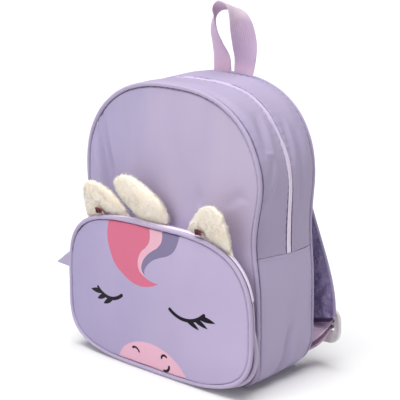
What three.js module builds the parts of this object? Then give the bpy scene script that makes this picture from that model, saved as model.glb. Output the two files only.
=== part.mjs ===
// A child's backpack that stands on its base, with its front facing -Y.
// Millimetres, +Z up. The origin is the middle of the base.
// The walls are sheets of cloth, worked out station by station along two outlines:
// the arch of the body and the rounded face of the front pocket.

import * as THREE from 'three';

// Thickness of each kind of cloth, and the clearance that neighbours keep
const CLOTH = 1.6;
const WEBBING = 1.5;
const PADDED_BACK = 6;
const PADDED_STRAP = 8;
const GAP = 0.3;

const BODY = {
  depth: 90,
  frontHalfWidth: 124,
  backHalfWidth: 118,
  frontTop: 300,
  backTop: 305,
  archLevel: 200,
  archPower: 2.45,
  frontCorner: 26,
  backCorner: 42,
  crossSeam: 137,
  seamLift: 2.6,
  swell: 2.6,
  swellRun: 14,
  panelCentre: 150,
  frontCrown: 7,
  backCrown: 3,
  crownPower: 2.2,
};

const PIPING = { front: 2.3, back: 1.8, pocket: 2.3, sides: 6 };
const MAIN_ZIP = { halfWidth: 3.5, sink: 0.8 };

const POCKET = {
  halfWidth: 135.5,
  top: 157,
  bottom: 2.7,
  waist: 66,
  power: 3.43,
  standOff: 24.5,
  bow: 4.5,
  footForward: 4,
  crown: 10,
  faceCentre: 78,
  baseHalfWidth: 116,
  baseTop: 155,
  baseBottom: 14,
  swell: 1.2,
  zipEnd: 101,
  zipWidth: 8,
};

// Steps along half of the body outline, from the middle of the base up to the top
const BODY_RUNS = [
  { run: 'base', steps: 3 },
  { run: 'corner', steps: 4 },
  { run: 'lowerSide', steps: 4 },
  { run: 'upperSide', steps: 3 },
  { run: 'arch', steps: 12 },
];
const POCKET_STATIONS = 52;
const PANEL_RINGS = [0, 0.3, 0.6, 0.85, 1];

// Places where the cloth has sunk in or bulged out: centre, reach and movement
const DENTS = [
  { name: 'right waist', centre: [124, -42, 152], reach: [45, 34, 34], move: [-9, 3, 0] },
  { name: 'right bulge', centre: [126, -42, 214], reach: [40, 34, 26], move: [2.5, 0, 0] },
  { name: 'left bulge', centre: [-126, -40, 200], reach: [40, 60, 70], move: [-7, 0, 0] },
  { name: 'top sag', centre: [0, 4, 305], reach: [90, 32, 22], move: [0, 0, -2.2] },
  { name: 'right shoulder fold', centre: [108, 4, 252], reach: [30, 22, 40], move: [-2.5, 0, -2] },
  { name: 'back waist', centre: [120, 45, 160], reach: [40, 26, 40], move: [-4.5, 0, 0] },
  { name: 'front panel hollow', centre: [-70, -50, 215], reach: [22, 20, 50], move: [0, 3, 0] },
  { name: 'panel beside horn', centre: [45, -52, 200], reach: [26, 20, 40], move: [0, 2.5, 0] },
  { name: 'low side fold', centre: [122, 12, 48], reach: [30, 12, 26], move: [-3, 0, 0] },
  { name: 'pocket corner', centre: [112, -74, 12], reach: [60, 22, 45], move: [5, -3, 0] },
  { name: 'pocket right side', centre: [136, -70, 65], reach: [50, 24, 60], move: [3.5, -1, 0] },
];

const COLOURS = {
  lavender: 0xbfb2d2,
  sideLavender: 0xb4a8c8,
  piping: 0xc6bad8,
  zip: 0xe0d2ea,
  plush: 0xeee8da,
  innerEar: 0x7a3a40,
  webbing: 0xc9afcd,
  strapLining: 0x746690,
  plastic: 0xf2f0f2,
};

const lerp = THREE.MathUtils.lerp;
const half = BODY.depth / 2;

// One closed solid from a run of rings. A ring of one point is a pole. Rings that
// start or end the run without a pole are closed by a ladder of facets. The returning
// half of a ring is split along the other diagonal, so that both faces of a twisted
// sheet bend alike.
function solidFromRings(rings, loopBack = false) {
  const positions = [];
  const index = [];
  const starts = rings.map((ring) => {
    const start = positions.length / 3;
    ring.forEach((point) => positions.push(...settle(point)));
    return start;
  });
  const joins = loopBack ? rings.length : rings.length - 1;
  for (let k = 0; k < joins; k += 1) {
    const next = (k + 1) % rings.length;
    const count = Math.max(rings[k].length, rings[next].length);
    for (let i = 0; i < count; i += 1) {
      const j = (i + 1) % count;
      const here = (n) => starts[k] + (rings[k].length === 1 ? 0 : n);
      const there = (n) => starts[next] + (rings[next].length === 1 ? 0 : n);
      const returning = i >= count / 2;
      if (rings[k].length > 1) {
        index.push(here(i), here(j), returning ? there(i) : there(j));
      }
      if (rings[next].length > 1) {
        index.push(returning ? here(j) : here(i), there(j), there(i));
      }
    }
  }
  if (!loopBack) {
    addLadder(index, starts[0], rings[0].length, true);
    addLadder(index, starts[rings.length - 1], rings[rings.length - 1].length, false);
  }
  const geometry = new THREE.BufferGeometry();
  geometry.setAttribute('position', new THREE.Float32BufferAttribute(positions, 3));
  geometry.setIndex(signedVolume(positions, index) < 0 ? index.reverse() : index);
  geometry.computeVertexNormals();
  return geometry;
}

function addLadder(index, start, count, atStart) {
  for (let i = 0; i < count / 2 - 1; i += 1) {
    const a = start + i;
    const b = start + i + 1;
    const c = start + count - 2 - i;
    const d = start + count - 1 - i;
    if (atStart) {
      index.push(a, c, b, a, d, c);
    } else {
      index.push(a, b, c, a, c, d);
    }
  }
}

function signedVolume(positions, index) {
  const corner = (n) => new THREE.Vector3().fromArray(positions, 3 * n);
  let sum = 0;
  for (let k = 0; k < index.length; k += 3) {
    const across = corner(index[k + 1]).cross(corner(index[k + 2]));
    sum += corner(index[k]).dot(across);
  }
  return sum;
}

// Moves a point by the dents that reach it
function settle([x, y, z]) {
  const moved = [x, y, z];
  for (const { centre, reach, move } of DENTS) {
    const away = centre.reduce((sum, c, k) => sum + (([x, y, z][k] - c) / reach[k]) ** 2, 0);
    const share = Math.exp(-away);
    move.forEach((m, k) => {
      moved[k] += m * share;
    });
  }
  return moved;
}

// A closed outline with outward normals, from the stations of its right half
function closedOutline(rightHalf) {
  const leftHalf = rightHalf.slice(1, -1).reverse().map(([x, z]) => [-x, z]);
  const points = [...rightHalf, ...leftHalf];
  return points.map(([x, z], i) => {
    const before = points[(i + points.length - 1) % points.length];
    const after = points[(i + 1) % points.length];
    const normal = new THREE.Vector2(after[1] - before[1], before[0] - after[0]).normalize();
    return { x, z, nx: normal.x, nz: normal.y };
  });
}

// The body outline at a share of the depth, 0 at the front seam and 1 at the back seam
function bodyOutline(share) {
  const width = lerp(BODY.frontHalfWidth, BODY.backHalfWidth, share);
  const top = lerp(BODY.frontTop, BODY.backTop, share);
  const r = lerp(BODY.frontCorner, BODY.backCorner, share);
  const { seamLift: low, archLevel, crossSeam } = BODY;
  const bend = 2 / BODY.archPower;
  const runs = {
    base: (t) => [t * (width - r), low],
    corner: (t) => [
      width - r + r * Math.sin((t * Math.PI) / 2),
      low + r - r * Math.cos((t * Math.PI) / 2),
    ],
    lowerSide: (t) => [width, lerp(low + r, crossSeam, t)],
    upperSide: (t) => [width, lerp(crossSeam, archLevel, t)],
    arch: (t) => [
      t === 1 ? 0 : width * Math.cos((t * Math.PI) / 2) ** bend,
      archLevel + (top - archLevel) * Math.sin((t * Math.PI) / 2) ** bend,
    ],
  };
  const stations = [[0, low]];
  for (const { run, steps } of BODY_RUNS) {
    for (let k = 1; k <= steps; k += 1) {
      stations.push(runs[run](k / steps));
    }
  }
  return closedOutline(stations);
}

const bodyCount = bodyOutline(0).length;
const seamStation = BODY_RUNS.slice(0, 3).reduce((sum, { steps }) => sum + steps, 0);

// How far the gusset stands outside its seams at a depth
function swellAt(y) {
  const fromSeam = Math.min(half - Math.abs(y), BODY.swellRun) / BODY.swellRun;
  return BODY.swell * THREE.MathUtils.smoothstep(fromSeam, 0, 1);
}

// A strip of the body gusset between two depths, from one station to another
function gussetStrip({ from, to, yFrom, yTo, rows, wall = CLOTH, sink = 0 }) {
  const rings = [];
  for (let station = from; station <= to; station += 1) {
    const outer = [];
    const inner = [];
    for (let k = 0; k <= rows; k += 1) {
      const y = lerp(yFrom, yTo, k / rows);
      const p = bodyOutline((y + half) / BODY.depth)[(station + bodyCount) % bodyCount];
      const out = swellAt(y) - sink;
      const z = p.z + trimAtEnd(station, from, to);
      outer.push([p.x + p.nx * out, y, z + p.nz * out]);
      inner.unshift([p.x + p.nx * (out - wall), y, z + p.nz * (out - wall)]);
    }
    rings.push([...outer, ...inner]);
  }
  return solidFromRings(rings);
}

// Both ends of a strip stop short of the cross seam: the lower strip below it, the
// upper strips above it
function trimAtEnd(station, from, to) {
  const end = station === from || station === to;
  const below = from < 0;
  return end ? (below ? -GAP / 2 : GAP / 2) : 0;
}

// A closed round cord along an outline, in the plane of each station's normal and Y
function pipingRing(outline, depthAt, radius) {
  const rings = outline.map((p) => {
    const ring = [];
    for (let k = 0; k < PIPING.sides; k += 1) {
      const angle = (2 * Math.PI * (k + 0.5)) / PIPING.sides;
      const out = radius * Math.cos(angle);
      ring.push([p.x + p.nx * out, depthAt(p) + radius * Math.sin(angle), p.z + p.nz * out]);
    }
    return ring;
  });
  return solidFromRings(rings, true);
}

// A crowned sheet inside an outline: faceAt(x, z, f) gives the depth of its outside,
// with f from 0 at the centre to 1 at the rim, and inward is the side of its wall
function crownedPanel({ rim, centre, faceAt, wall, inward }) {
  const ringAt = (f, shift) => {
    if (f === 0) {
      return [[0, faceAt(0, centre, 0) + shift, centre]];
    }
    return rim.map((p) => {
      const x = p.x * f;
      const z = lerp(centre, p.z, f);
      return [x, faceAt(x, z, f) + shift, z];
    });
  };
  const outside = PANEL_RINGS.map((f) => ringAt(f, 0));
  const inside = [...PANEL_RINGS].reverse().map((f) => ringAt(f, inward * wall));
  return solidFromRings([...outside, ...inside]);
}

const insetOutline = (outline, inset) => outline.map((p) => ({
  ...p,
  x: p.x - p.nx * inset,
  z: p.z - p.nz * inset,
}));

const crownShare = (f) => 1 - f ** BODY.crownPower;
const frontRim = insetOutline(bodyOutline(0), PIPING.front + GAP);
const backRim = insetOutline(bodyOutline(1), PIPING.back + GAP);

// Share of the way from a panel's centre to its rim, for a point of the panel
function rimShare(rim, centre, x, z) {
  const ray = new THREE.Vector2(x, z - centre);
  let share = 0;
  rim.forEach((p, i) => {
    const q = rim[(i + 1) % rim.length];
    const a = new THREE.Vector2(p.x, p.z - centre);
    const b = new THREE.Vector2(q.x, q.z - centre);
    const area = a.cross(b);
    const s = ray.cross(b) / area;
    const t = a.cross(ray) / area;
    if (s >= 0 && t >= 0) {
      share = Math.max(share, s + t);
    }
  });
  return share;
}

function frontFace(x, z) {
  const f = Math.min(1, rimShare(frontRim, BODY.panelCentre, x, z));
  return -half - CLOTH / 2 - BODY.frontCrown * crownShare(f);
}

function backFace(x, z) {
  const f = Math.min(1, rimShare(backRim, BODY.panelCentre, x, z));
  return half + CLOTH / 2 + BODY.backCrown * crownShare(f);
}

// A rounded outline of even steps: the upper and the lower half have one roundness
// and meet at the waist
function roundedOutline({ halfWidth, top, bottom, waist, power }) {
  const bend = 2 / power;
  const fine = [];
  const fineSteps = 400;
  for (let k = 0; k <= fineSteps; k += 1) {
    const angle = (k / fineSteps - 0.5) * Math.PI;
    const rise = Math.sign(angle) * Math.abs(Math.sin(angle)) ** bend;
    const reach = k % fineSteps === 0 ? 0 : Math.cos(angle) ** bend;
    const z = waist + rise * (rise > 0 ? top - waist : waist - bottom);
    fine.push(new THREE.Vector3(halfWidth * reach, 0, z));
  }
  const path = new THREE.CurvePath();
  for (let k = 0; k < fineSteps; k += 1) {
    path.add(new THREE.LineCurve3(fine[k], fine[k + 1]));
  }
  const stations = path.getSpacedPoints(POCKET_STATIONS / 2).map((p) => [p.x, p.z]);
  return closedOutline(stations);
}

const pocketSeam = roundedOutline(POCKET);
const pocketBase = roundedOutline({
  ...POCKET,
  halfWidth: POCKET.baseHalfWidth,
  top: POCKET.baseTop,
  bottom: POCKET.baseBottom,
});
const pocketZipStation = pocketSeam.findIndex((p) => p.z > POCKET.zipEnd);

// Depth of the seam between the pocket's face and gusset. It bows forward towards the
// middle, and stands further out at the foot, where the pocket sags.
function pocketSeamDepth({ x, z }) {
  const low = Math.max(0, (POCKET.waist - z) / (POCKET.waist - POCKET.bottom));
  const bow = POCKET.bow * (1 - (x / POCKET.halfWidth) ** 2);
  return -half - POCKET.standOff - bow - POCKET.footForward * low ** 2;
}

// A point of the pocket gusset: share 0 is the seam with the face, share 1 the base
// on the front panel, and inset goes into the wall
function pocketPoint(station, share, inset) {
  const i = (station + POCKET_STATIONS) % POCKET_STATIONS;
  const seam = pocketSeam[i];
  const base = pocketBase[i];
  const out = POCKET.swell * 4 * share * (1 - share) - inset;
  const x = lerp(seam.x, base.x, share) + seam.nx * out;
  const z = lerp(seam.z, base.z, share) + seam.nz * out;
  const deep = frontFace(x, z) - GAP;
  return [x, lerp(pocketSeamDepth(seam), deep, share), z];
}

// The gusset is shallowest at the middle of the top, where the front panel is crowned
const pocketDepth = POCKET.standOff - BODY.frontCrown + POCKET.bow - CLOTH;
const seamShare = (PIPING.pocket + GAP) / pocketDepth;
const zipShare = seamShare + POCKET.zipWidth / pocketDepth;
const gapShare = GAP / pocketDepth;

function pocketStrip({ from, to, shareFrom, shareTo, rows, sink = 0 }) {
  const rings = [];
  for (let station = from; station <= to; station += 1) {
    const outer = [];
    const inner = [];
    const trim = trimAtEnd(station, from, to);
    for (let k = 0; k <= rows; k += 1) {
      const share = lerp(shareFrom, shareTo, k / rows);
      const lift = ([x, y, z]) => [x, y, z + trim];
      outer.push(lift(pocketPoint(station, share, sink)));
      inner.unshift(lift(pocketPoint(station, share, sink + CLOTH)));
    }
    rings.push([...outer, ...inner]);
  }
  return solidFromRings(rings);
}

// Plush shapes that stand on the pocket: rise is the height above the pocket's top,
// near and far are the edges across the bag, and thick is half the stuffed thickness
const PLUSH = { seat: -62.5, seatGap: 0.8, lean: 0.3, roundSides: 14 };
const EAR_ROWS = [
  { rise: 0, near: 47, far: 109, thick: 3.5 },
  { rise: 7, near: 48, far: 110.5, thick: 5 },
  { rise: 17, near: 56, far: 110, thick: 6 },
  { rise: 26, near: 64, far: 108.5, thick: 6 },
  { rise: 34, near: 73, far: 106.5, thick: 5.5 },
  { rise: 40, near: 82, far: 104.5, thick: 4.5 },
  { rise: 44, near: 89, far: 101.5, thick: 3 },
  { rise: 46, near: 95, far: 96, thick: 0.5 },
];
const HORN_ROWS = [
  { rise: 0, near: -31, far: 16, thick: 5 },
  { rise: 7, near: -37, far: 17, thick: 7.5 },
  { rise: 15, near: -45, far: 16, thick: 9 },
  { rise: 23, near: -52, far: 12, thick: 9.5 },
  { rise: 31, near: -56, far: 5, thick: 9 },
  { rise: 38, near: -57, far: -5, thick: 8 },
  { rise: 44, near: -53, far: -15, thick: 6.5 },
  { rise: 48, near: -46, far: -23, thick: 4 },
  { rise: 50, near: -36, far: -33, thick: 0.5 },
];

// Height of the pocket gusset's top under a point of the plush shapes
function plushSeat(x, y) {
  const seam = pocketSeamDepth({ x, z: POCKET.top });
  const share = (y - seam) / (frontFace(x, POCKET.baseTop) - seam);
  const width = lerp(POCKET.halfWidth, POCKET.baseHalfWidth, share);
  const top = lerp(POCKET.top, POCKET.baseTop, share);
  const reach = (Math.abs(x) / width) ** POCKET.power;
  const height = POCKET.waist + (top - POCKET.waist) * (1 - reach) ** (1 / POCKET.power);
  return height + POCKET.swell + PLUSH.seatGap;
}

const plushDepth = (rise) => PLUSH.seat - PLUSH.lean * rise;

function plushShape(rows, side) {
  const rings = rows.map(({ rise, near, far, thick }) => {
    const ring = [];
    for (let k = 0; k < PLUSH.roundSides; k += 1) {
      const angle = (2 * Math.PI * k) / PLUSH.roundSides;
      const x = side * ((near + far) / 2 + ((far - near) / 2) * Math.cos(angle));
      const forward = thick * Math.sin(angle);
      ring.push([x, plushDepth(rise) + forward, plushSeat(x, PLUSH.seat + forward) + rise]);
    }
    return ring;
  });
  return solidFromRings(rings);
}

// The lining that shows in the fold of each ear, on the front of its foot
const EAR_LINING = {
  halfWidth: 8, height: 11, round: 0.8, thick: 1.4, foot: 4, clear: 6.2, lean: 0.42,
};
const LINING_PLACES = { left: -82, right: 69 };

function earLining(x) {
  const { halfWidth, height, round, thick, foot, clear, lean } = EAR_LINING;
  const shape = new THREE.Shape();
  shape.moveTo(-halfWidth, 0);
  shape.lineTo(halfWidth, 0);
  shape.quadraticCurveTo(halfWidth * round, height, 0, height);
  shape.quadraticCurveTo(-halfWidth * round, height, -halfWidth, 0);
  const options = { depth: thick, bevelEnabled: false, curveSegments: 5 };
  const geometry = new THREE.ExtrudeGeometry(shape, options);
  geometry.rotateX(Math.PI / 2 + Math.atan(lean));
  geometry.translate(x, PLUSH.seat - clear, plushSeat(x, PLUSH.seat) + foot);
  return geometry;
}

// The folded tab that closes the pocket zip's end on the left
const TAB = { root: -133.8, tip: -162, high: 108, low: 84, tipHigh: 87, tipLow: 86, thick: 2 };

function zipTab() {
  const shape = new THREE.Shape();
  shape.moveTo(TAB.root, TAB.low);
  shape.lineTo(TAB.root, TAB.high);
  shape.lineTo(TAB.tip, TAB.tipHigh);
  shape.lineTo(TAB.tip, TAB.tipLow);
  const options = { depth: TAB.thick, bevelEnabled: false };
  const geometry = new THREE.ExtrudeGeometry(shape, options);
  geometry.rotateX(Math.PI / 2);
  geometry.translate(0, -half - POCKET.standOff + PIPING.pocket + GAP + TAB.thick, 0);
  return geometry;
}

// A flat band along rows of places. across points along the band's width.
function band(rows, { steps, thick, roundSides }) {
  const path = new THREE.CatmullRomCurve3(rows.map(({ at }) => new THREE.Vector3(...at)));
  const turns = new THREE.CatmullRomCurve3(rows.map(({ across }) => new THREE.Vector3(...across)));
  const widths = new THREE.CatmullRomCurve3(rows.map(({ width }) => new THREE.Vector3(width)));
  const rings = [];
  for (let k = 0; k <= steps; k += 1) {
    const t = k / steps;
    const centre = path.getPoint(t);
    const along = path.getTangent(t);
    const across = turns.getPoint(t);
    across.addScaledVector(along, -across.dot(along)).normalize();
    const over = new THREE.Vector3().crossVectors(along, across);
    const width = widths.getPoint(t).x;
    rings.push(bandSection(width / 2, thick / 2, roundSides).map(([u, v]) => {
      const point = centre.clone().addScaledVector(across, u).addScaledVector(over, v);
      return point.toArray();
    }));
  }
  return solidFromRings(rings);
}

// A band's section: four corners, or with round sides a flat pad whose edges taper
// over a share of its thickness
const PAD_TAPER = 1.2;

function bandSection(u, v, roundSides) {
  if (!roundSides) {
    return [[-u, -v], [u, -v], [u, v], [-u, v]];
  }
  const flat = u - v * PAD_TAPER;
  return [[-u, 0], [-flat, -v], [flat, -v], [u, 0], [flat, v], [-flat, v]];
}

// The grab loop, from its right end over the top to its left end. Both legs turn, so
// that the webbing's width lies along the seam below and runs front to back on top,
// where its front edge stands up.
const LOOP_WIDTH = 26;
const LOOP_ROWS = [
  { at: [16.2, 45.2, 307.6], across: [1, 0, 0.1] },
  { at: [18.5, 45.3, 322], across: [0.96, 0.25, 0] },
  { at: [18.4, 44, 338], across: [0.74, 0.66, 0] },
  { at: [16, 42, 354], across: [0.44, 0.9, -0.02] },
  { at: [12, 40, 367], across: [0.05, 0.99, -0.06] },
  { at: [4.5, 39, 374.6], across: [-0.32, 0.92, -0.2] },
  { at: [-4, 38.8, 374.2], across: [-0.42, 0.72, -0.53] },
  { at: [-11, 38.8, 369.5], across: [-0.6, 0.56, -0.55] },
  { at: [-16, 38.6, 361], across: [-0.76, 0.6, -0.2] },
  { at: [-19.3, 38.8, 348], across: [-0.86, 0.5, -0.05] },
  { at: [-17.2, 40.5, 334], across: [-0.94, 0.33, 0] },
  { at: [-14, 43.5, 320], across: [-1, 0.06, 0] },
  { at: [-14.2, 45.2, 307.4], across: [-1, 0, 0] },
].map((row) => ({ ...row, width: LOOP_WIDTH }));

// The right shoulder strap, from its seam on the back panel to its lower end
const STRAP_SEAT = backFace(38, 284) + GAP + PADDED_STRAP / 2;
const STRAP_ROWS = [
  { at: [38, STRAP_SEAT, 290], across: [1, 0, 0], width: 44 },
  { at: [40, STRAP_SEAT + 3, 272], across: [1, 0, 0], width: 46 },
  { at: [46, 66, 235], across: [1, 0, 0.1], width: 46 },
  { at: [57, 73, 190], across: [1, 0, 0.2], width: 46 },
  { at: [72, 75, 150], across: [1, 0, 0.3], width: 45 },
  { at: [92, 72, 105], across: [1, 0, 0.3], width: 45 },
  { at: [106, 68, 74], across: [1, 0, 0.2], width: 40 },
  { at: [112.3, 65.7, 50.8], across: [1, 0, 0.1], width: 34 },
];

// The ladder lock that holds the right strap's webbing
const LOCK = {
  x: 112, y: 73.4, thick: 4, halfWidth: 18, top: 60, bottom: 24, round: 15, slotHalf: 11,
};
const LOCK_SLOTS = [
  { low: 47, high: 56 },
  { low: 37.5, high: 44.6 },
];

function ladderLock() {
  const { halfWidth: w, top, bottom, round, slotHalf } = LOCK;
  const shape = new THREE.Shape();
  shape.moveTo(-w + round, bottom);
  shape.lineTo(w - round, bottom);
  shape.quadraticCurveTo(w, bottom, w, bottom + round);
  shape.lineTo(w, top - round / 3);
  shape.quadraticCurveTo(w, top, w - round / 3, top);
  shape.lineTo(-w + round / 3, top);
  shape.quadraticCurveTo(-w, top, -w, top - round / 3);
  shape.lineTo(-w, bottom + round);
  shape.quadraticCurveTo(-w, bottom, -w + round, bottom);
  for (const { low, high } of LOCK_SLOTS) {
    const slot = new THREE.Path();
    slot.moveTo(-slotHalf, low);
    slot.lineTo(-slotHalf, high);
    slot.lineTo(slotHalf, high);
    slot.lineTo(slotHalf, low);
    slot.closePath();
    shape.holes.push(slot);
  }
  const options = { depth: LOCK.thick, bevelEnabled: false, curveSegments: 5 };
  const geometry = new THREE.ExtrudeGeometry(shape, options);
  geometry.rotateX(Math.PI / 2);
  geometry.translate(LOCK.x, LOCK.y + LOCK.thick, 0);
  return geometry;
}

// The short webbing that ties the lock's top bar to the back of the strap
const lockBack = LOCK.y + LOCK.thick;
const TIE_ROWS = [
  { at: [109.5, 73.6, 70], across: [1, 0, 0.15], width: 20 },
  { at: [111.5, 72.3, 61], across: [1, 0, 0.1], width: 20 },
  { at: [112, 72.1, 57], across: [1, 0, 0], width: 20 },
  { at: [112, 73.6, 54.2], across: [1, 0, 0], width: 20 },
  { at: [112, lockBack, 54], across: [1, 0, 0], width: 20 },
  { at: [112, lockBack + 1.4, 56], across: [1, 0, 0], width: 20 },
  { at: [112, lockBack + 1.4, 62], across: [1, 0, 0], width: 20 },
];

// The right strap's webbing, from the back panel through the lock to its free end, which
// lies back over the first run
const STRAP_WEBBING_WIDTH = 20;
const WEBBING_ROWS = [
  { at: [104.6, 48.2, 30.8], across: [1, 0, 0.1] },
  { at: [105.2, 53, 30.6], across: [1, 0, 0.1] },
  { at: [107.8, 60, 31.4], across: [1, 0, 0.05] },
  { at: [111, 68, 37], across: [1, 0, 0] },
  { at: [112, 72.5, 40.6], across: [1, 0, 0] },
  { at: [112, 76.5, 41.3], across: [1, 0, 0] },
  { at: [112, lockBack + 2, 46], across: [1, 0, 0] },
  { at: [112, lockBack - 0.4, 50.4], across: [1, 0, 0] },
  { at: [112, 74, 50], across: [1, 0, 0] },
  { at: [112, 71, 47.2], across: [1, 0, 0] },
  { at: [111.5, 64, 42.8], across: [1, 0, -0.05] },
  { at: [110.5, 57, 38.8], across: [1, 0, -0.15] },
  { at: [109.5, 50.8, 35.4], across: [1, 0, -0.2] },
].map((row) => ({ ...row, width: STRAP_WEBBING_WIDTH }));

// A zip slider as one plain piece: run is the distance along the zip from its nose, low
// and high are heights above the zip, and wide is half its width. over points across the
// zip, towards the back of the bag on its left side.
const SLIDER_BODY = [
  { run: 0, low: 0.3, high: 2, wide: 2.4 },
  { run: 3, low: 0.3, high: 3.6, wide: 3.4 },
  { run: 11, low: 0.3, high: 3.6, wide: 3.2 },
];
const SLIDER_PULL = [
  { run: 13, low: 1.8, high: 3.2, wide: 2 },
  { run: 27, low: 1.8, high: 3, wide: 3 },
  { run: 30, low: 1.8, high: 3, wide: 1.6 },
];

function slider(rows, nose, along, over) {
  const out = new THREE.Vector3().crossVectors(over, along).normalize();
  const across = new THREE.Vector3().crossVectors(along, out);
  const rings = rows.map(({ run, low, high, wide }) => {
    const corners = [[-wide, low], [wide, low], [wide, high], [-wide, high]];
    return corners.map(([u, v]) => nose.clone()
      .addScaledVector(along, run)
      .addScaledVector(across, u)
      .addScaledVector(out, v)
      .toArray());
  });
  return solidFromRings(rings);
}

// The main zip is closed, with its slider at the left end
const MAIN_SLIDER_NOSE = 156;

function mainSlider() {
  const width = lerp(BODY.frontHalfWidth, BODY.backHalfWidth, 0.5);
  const surface = width + BODY.swell - MAIN_ZIP.sink;
  const nose = new THREE.Vector3(-surface, 0, MAIN_SLIDER_NOSE);
  const rows = [...SLIDER_BODY, ...SLIDER_PULL];
  return slider(rows, nose, new THREE.Vector3(0, 0, -1), new THREE.Vector3(0, 1, 0));
}

// The pocket zip's slider stands just above the tab at the left end
const POCKET_SLIDER_FOOT = 109;
const POCKET_ZIP_SINK = 0.4;

function pocketSlider() {
  const last = pocketSeam.findLastIndex((p) => p.z > POCKET_SLIDER_FOOT);
  const at = (station, share) => new THREE.Vector3(...pocketPoint(station, share, POCKET_ZIP_SINK));
  const middle = (station) => at(station, seamShare).lerp(at(station, zipShare), 0.5);
  const above = middle(last);
  const along = middle(last + 1).sub(above).normalize();
  const over = at(last, zipShare).sub(at(last, seamShare));
  const body = SLIDER_BODY[SLIDER_BODY.length - 1].run;
  const toFoot = (POCKET_SLIDER_FOOT - above.z) / along.z;
  return slider(SLIDER_BODY, above.addScaledVector(along, toFoot - body), along, over);
}

const bag = new THREE.Group();

function add(name, geometry, colour, roughness = 0.85) {
  const material = new THREE.MeshStandardMaterial({ color: colour, roughness, metalness: 0 });
  const mesh = new THREE.Mesh(geometry, material);
  mesh.name = name;
  bag.add(mesh);
  return mesh;
}

// A mirror image about the bag's middle plane, with its facets turned outward again
function mirrored(geometry) {
  const copy = geometry.index ? geometry.toNonIndexed() : geometry.clone();
  copy.scale(-1, 1, 1);
  const places = copy.attributes.position;
  const spare = new THREE.Vector3();
  const other = new THREE.Vector3();
  for (let k = 0; k < places.count; k += 3) {
    spare.fromBufferAttribute(places, k + 1);
    other.fromBufferAttribute(places, k + 2);
    places.setXYZ(k + 1, ...other.toArray());
    places.setXYZ(k + 2, ...spare.toArray());
  }
  copy.computeVertexNormals();
  return copy;
}

// Body: two panels, a gusset in three strips and the zip, with piping in both seams
const upper = { from: seamStation, to: bodyCount - seamStation };
const lower = { from: -seamStation, to: seamStation };
const frontEdge = -half + PIPING.front + GAP;
const backEdge = half - PIPING.back - GAP;

add('front_panel', crownedPanel({
  rim: frontRim,
  centre: BODY.panelCentre,
  faceAt: (x, z, f) => -half - CLOTH / 2 - BODY.frontCrown * crownShare(f),
  wall: CLOTH,
  inward: 1,
}), COLOURS.lavender);
add('back_panel', crownedPanel({
  rim: backRim,
  centre: BODY.panelCentre,
  faceAt: (x, z, f) => half + CLOTH / 2 + BODY.backCrown * crownShare(f),
  wall: PADDED_BACK,
  inward: -1,
}), COLOURS.sideLavender);
add('zip_gusset_front', gussetStrip({
  ...upper, yFrom: frontEdge, yTo: -MAIN_ZIP.halfWidth - GAP, rows: 3,
}), COLOURS.sideLavender);
add('zip_gusset_back', gussetStrip({
  ...upper, yFrom: MAIN_ZIP.halfWidth + GAP, yTo: backEdge, rows: 3,
}), COLOURS.sideLavender);
add('main_zip', gussetStrip({
  ...upper, yFrom: -MAIN_ZIP.halfWidth, yTo: MAIN_ZIP.halfWidth, rows: 1, sink: MAIN_ZIP.sink,
}), COLOURS.zip, 0.5);
add('bottom_gusset', gussetStrip({
  ...lower, yFrom: frontEdge, yTo: backEdge, rows: 8,
}), COLOURS.sideLavender);
add('main_zip_slider', mainSlider(), COLOURS.zip, 0.4);
add('front_piping', pipingRing(bodyOutline(0), () => -half, PIPING.front), COLOURS.piping);
add('back_piping', pipingRing(bodyOutline(1), () => half, PIPING.back), COLOURS.piping);

// Pocket: a crowned face, its gusset with the zip over the top, and piping
const pocketUpper = { from: pocketZipStation, to: POCKET_STATIONS - pocketZipStation };
const pocketLower = { from: -pocketZipStation, to: pocketZipStation };
const pocketRim = insetOutline(pocketSeam, PIPING.pocket + GAP);

add('pocket_panel', crownedPanel({
  rim: pocketRim,
  centre: POCKET.faceCentre,
  faceAt: (x, z, f) => pocketSeamDepth({ x, z }) - CLOTH / 2 - POCKET.crown * crownShare(f),
  wall: CLOTH,
  inward: 1,
}), COLOURS.lavender);
add('pocket_zip', pocketStrip({
  ...pocketUpper, shareFrom: seamShare, shareTo: zipShare, rows: 1, sink: POCKET_ZIP_SINK,
}), COLOURS.zip, 0.5);
add('pocket_gusset_top', pocketStrip({
  ...pocketUpper, shareFrom: zipShare + gapShare, shareTo: 1, rows: 2,
}), COLOURS.lavender);
add('pocket_gusset_bottom', pocketStrip({
  ...pocketLower, shareFrom: seamShare, shareTo: 1, rows: 3,
}), COLOURS.lavender);
add('pocket_piping', pipingRing(pocketSeam, pocketSeamDepth, PIPING.pocket), COLOURS.piping);
add('pocket_zip_tab', zipTab(), COLOURS.webbing);
add('pocket_zip_slider', pocketSlider(), COLOURS.zip, 0.4);

// Plush horn and ears on the pocket's top
add('horn', plushShape(HORN_ROWS, 1), COLOURS.plush, 1);
for (const [place, side] of [['left', -1], ['right', 1]]) {
  add(`ear_${place}`, plushShape(EAR_ROWS, side), COLOURS.plush, 1);
  add(`ear_lining_${place}`, earLining(LINING_PLACES[place]), COLOURS.innerEar, 1);
}

// Carrying: the grab loop and two shoulder straps
add('grab_loop', band(LOOP_ROWS, { steps: 30, thick: WEBBING }), COLOURS.webbing);

const strapPieces = {
  shoulder_strap: [band(STRAP_ROWS, { steps: 18, thick: PADDED_STRAP, roundSides: true }), 'strapLining'],
  strap_lock: [ladderLock(), 'plastic'],
  strap_tie: [band(TIE_ROWS, { steps: 12, thick: WEBBING }), 'webbing'],
  strap_webbing: [band(WEBBING_ROWS, { steps: 36, thick: WEBBING }), 'webbing'],
};
for (const [piece, [geometry, colour]] of Object.entries(strapPieces)) {
  add(`${piece}_right`, geometry, COLOURS[colour]);
  add(`${piece}_left`, mirrored(geometry), COLOURS[colour]);
}

export default bag;
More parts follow.
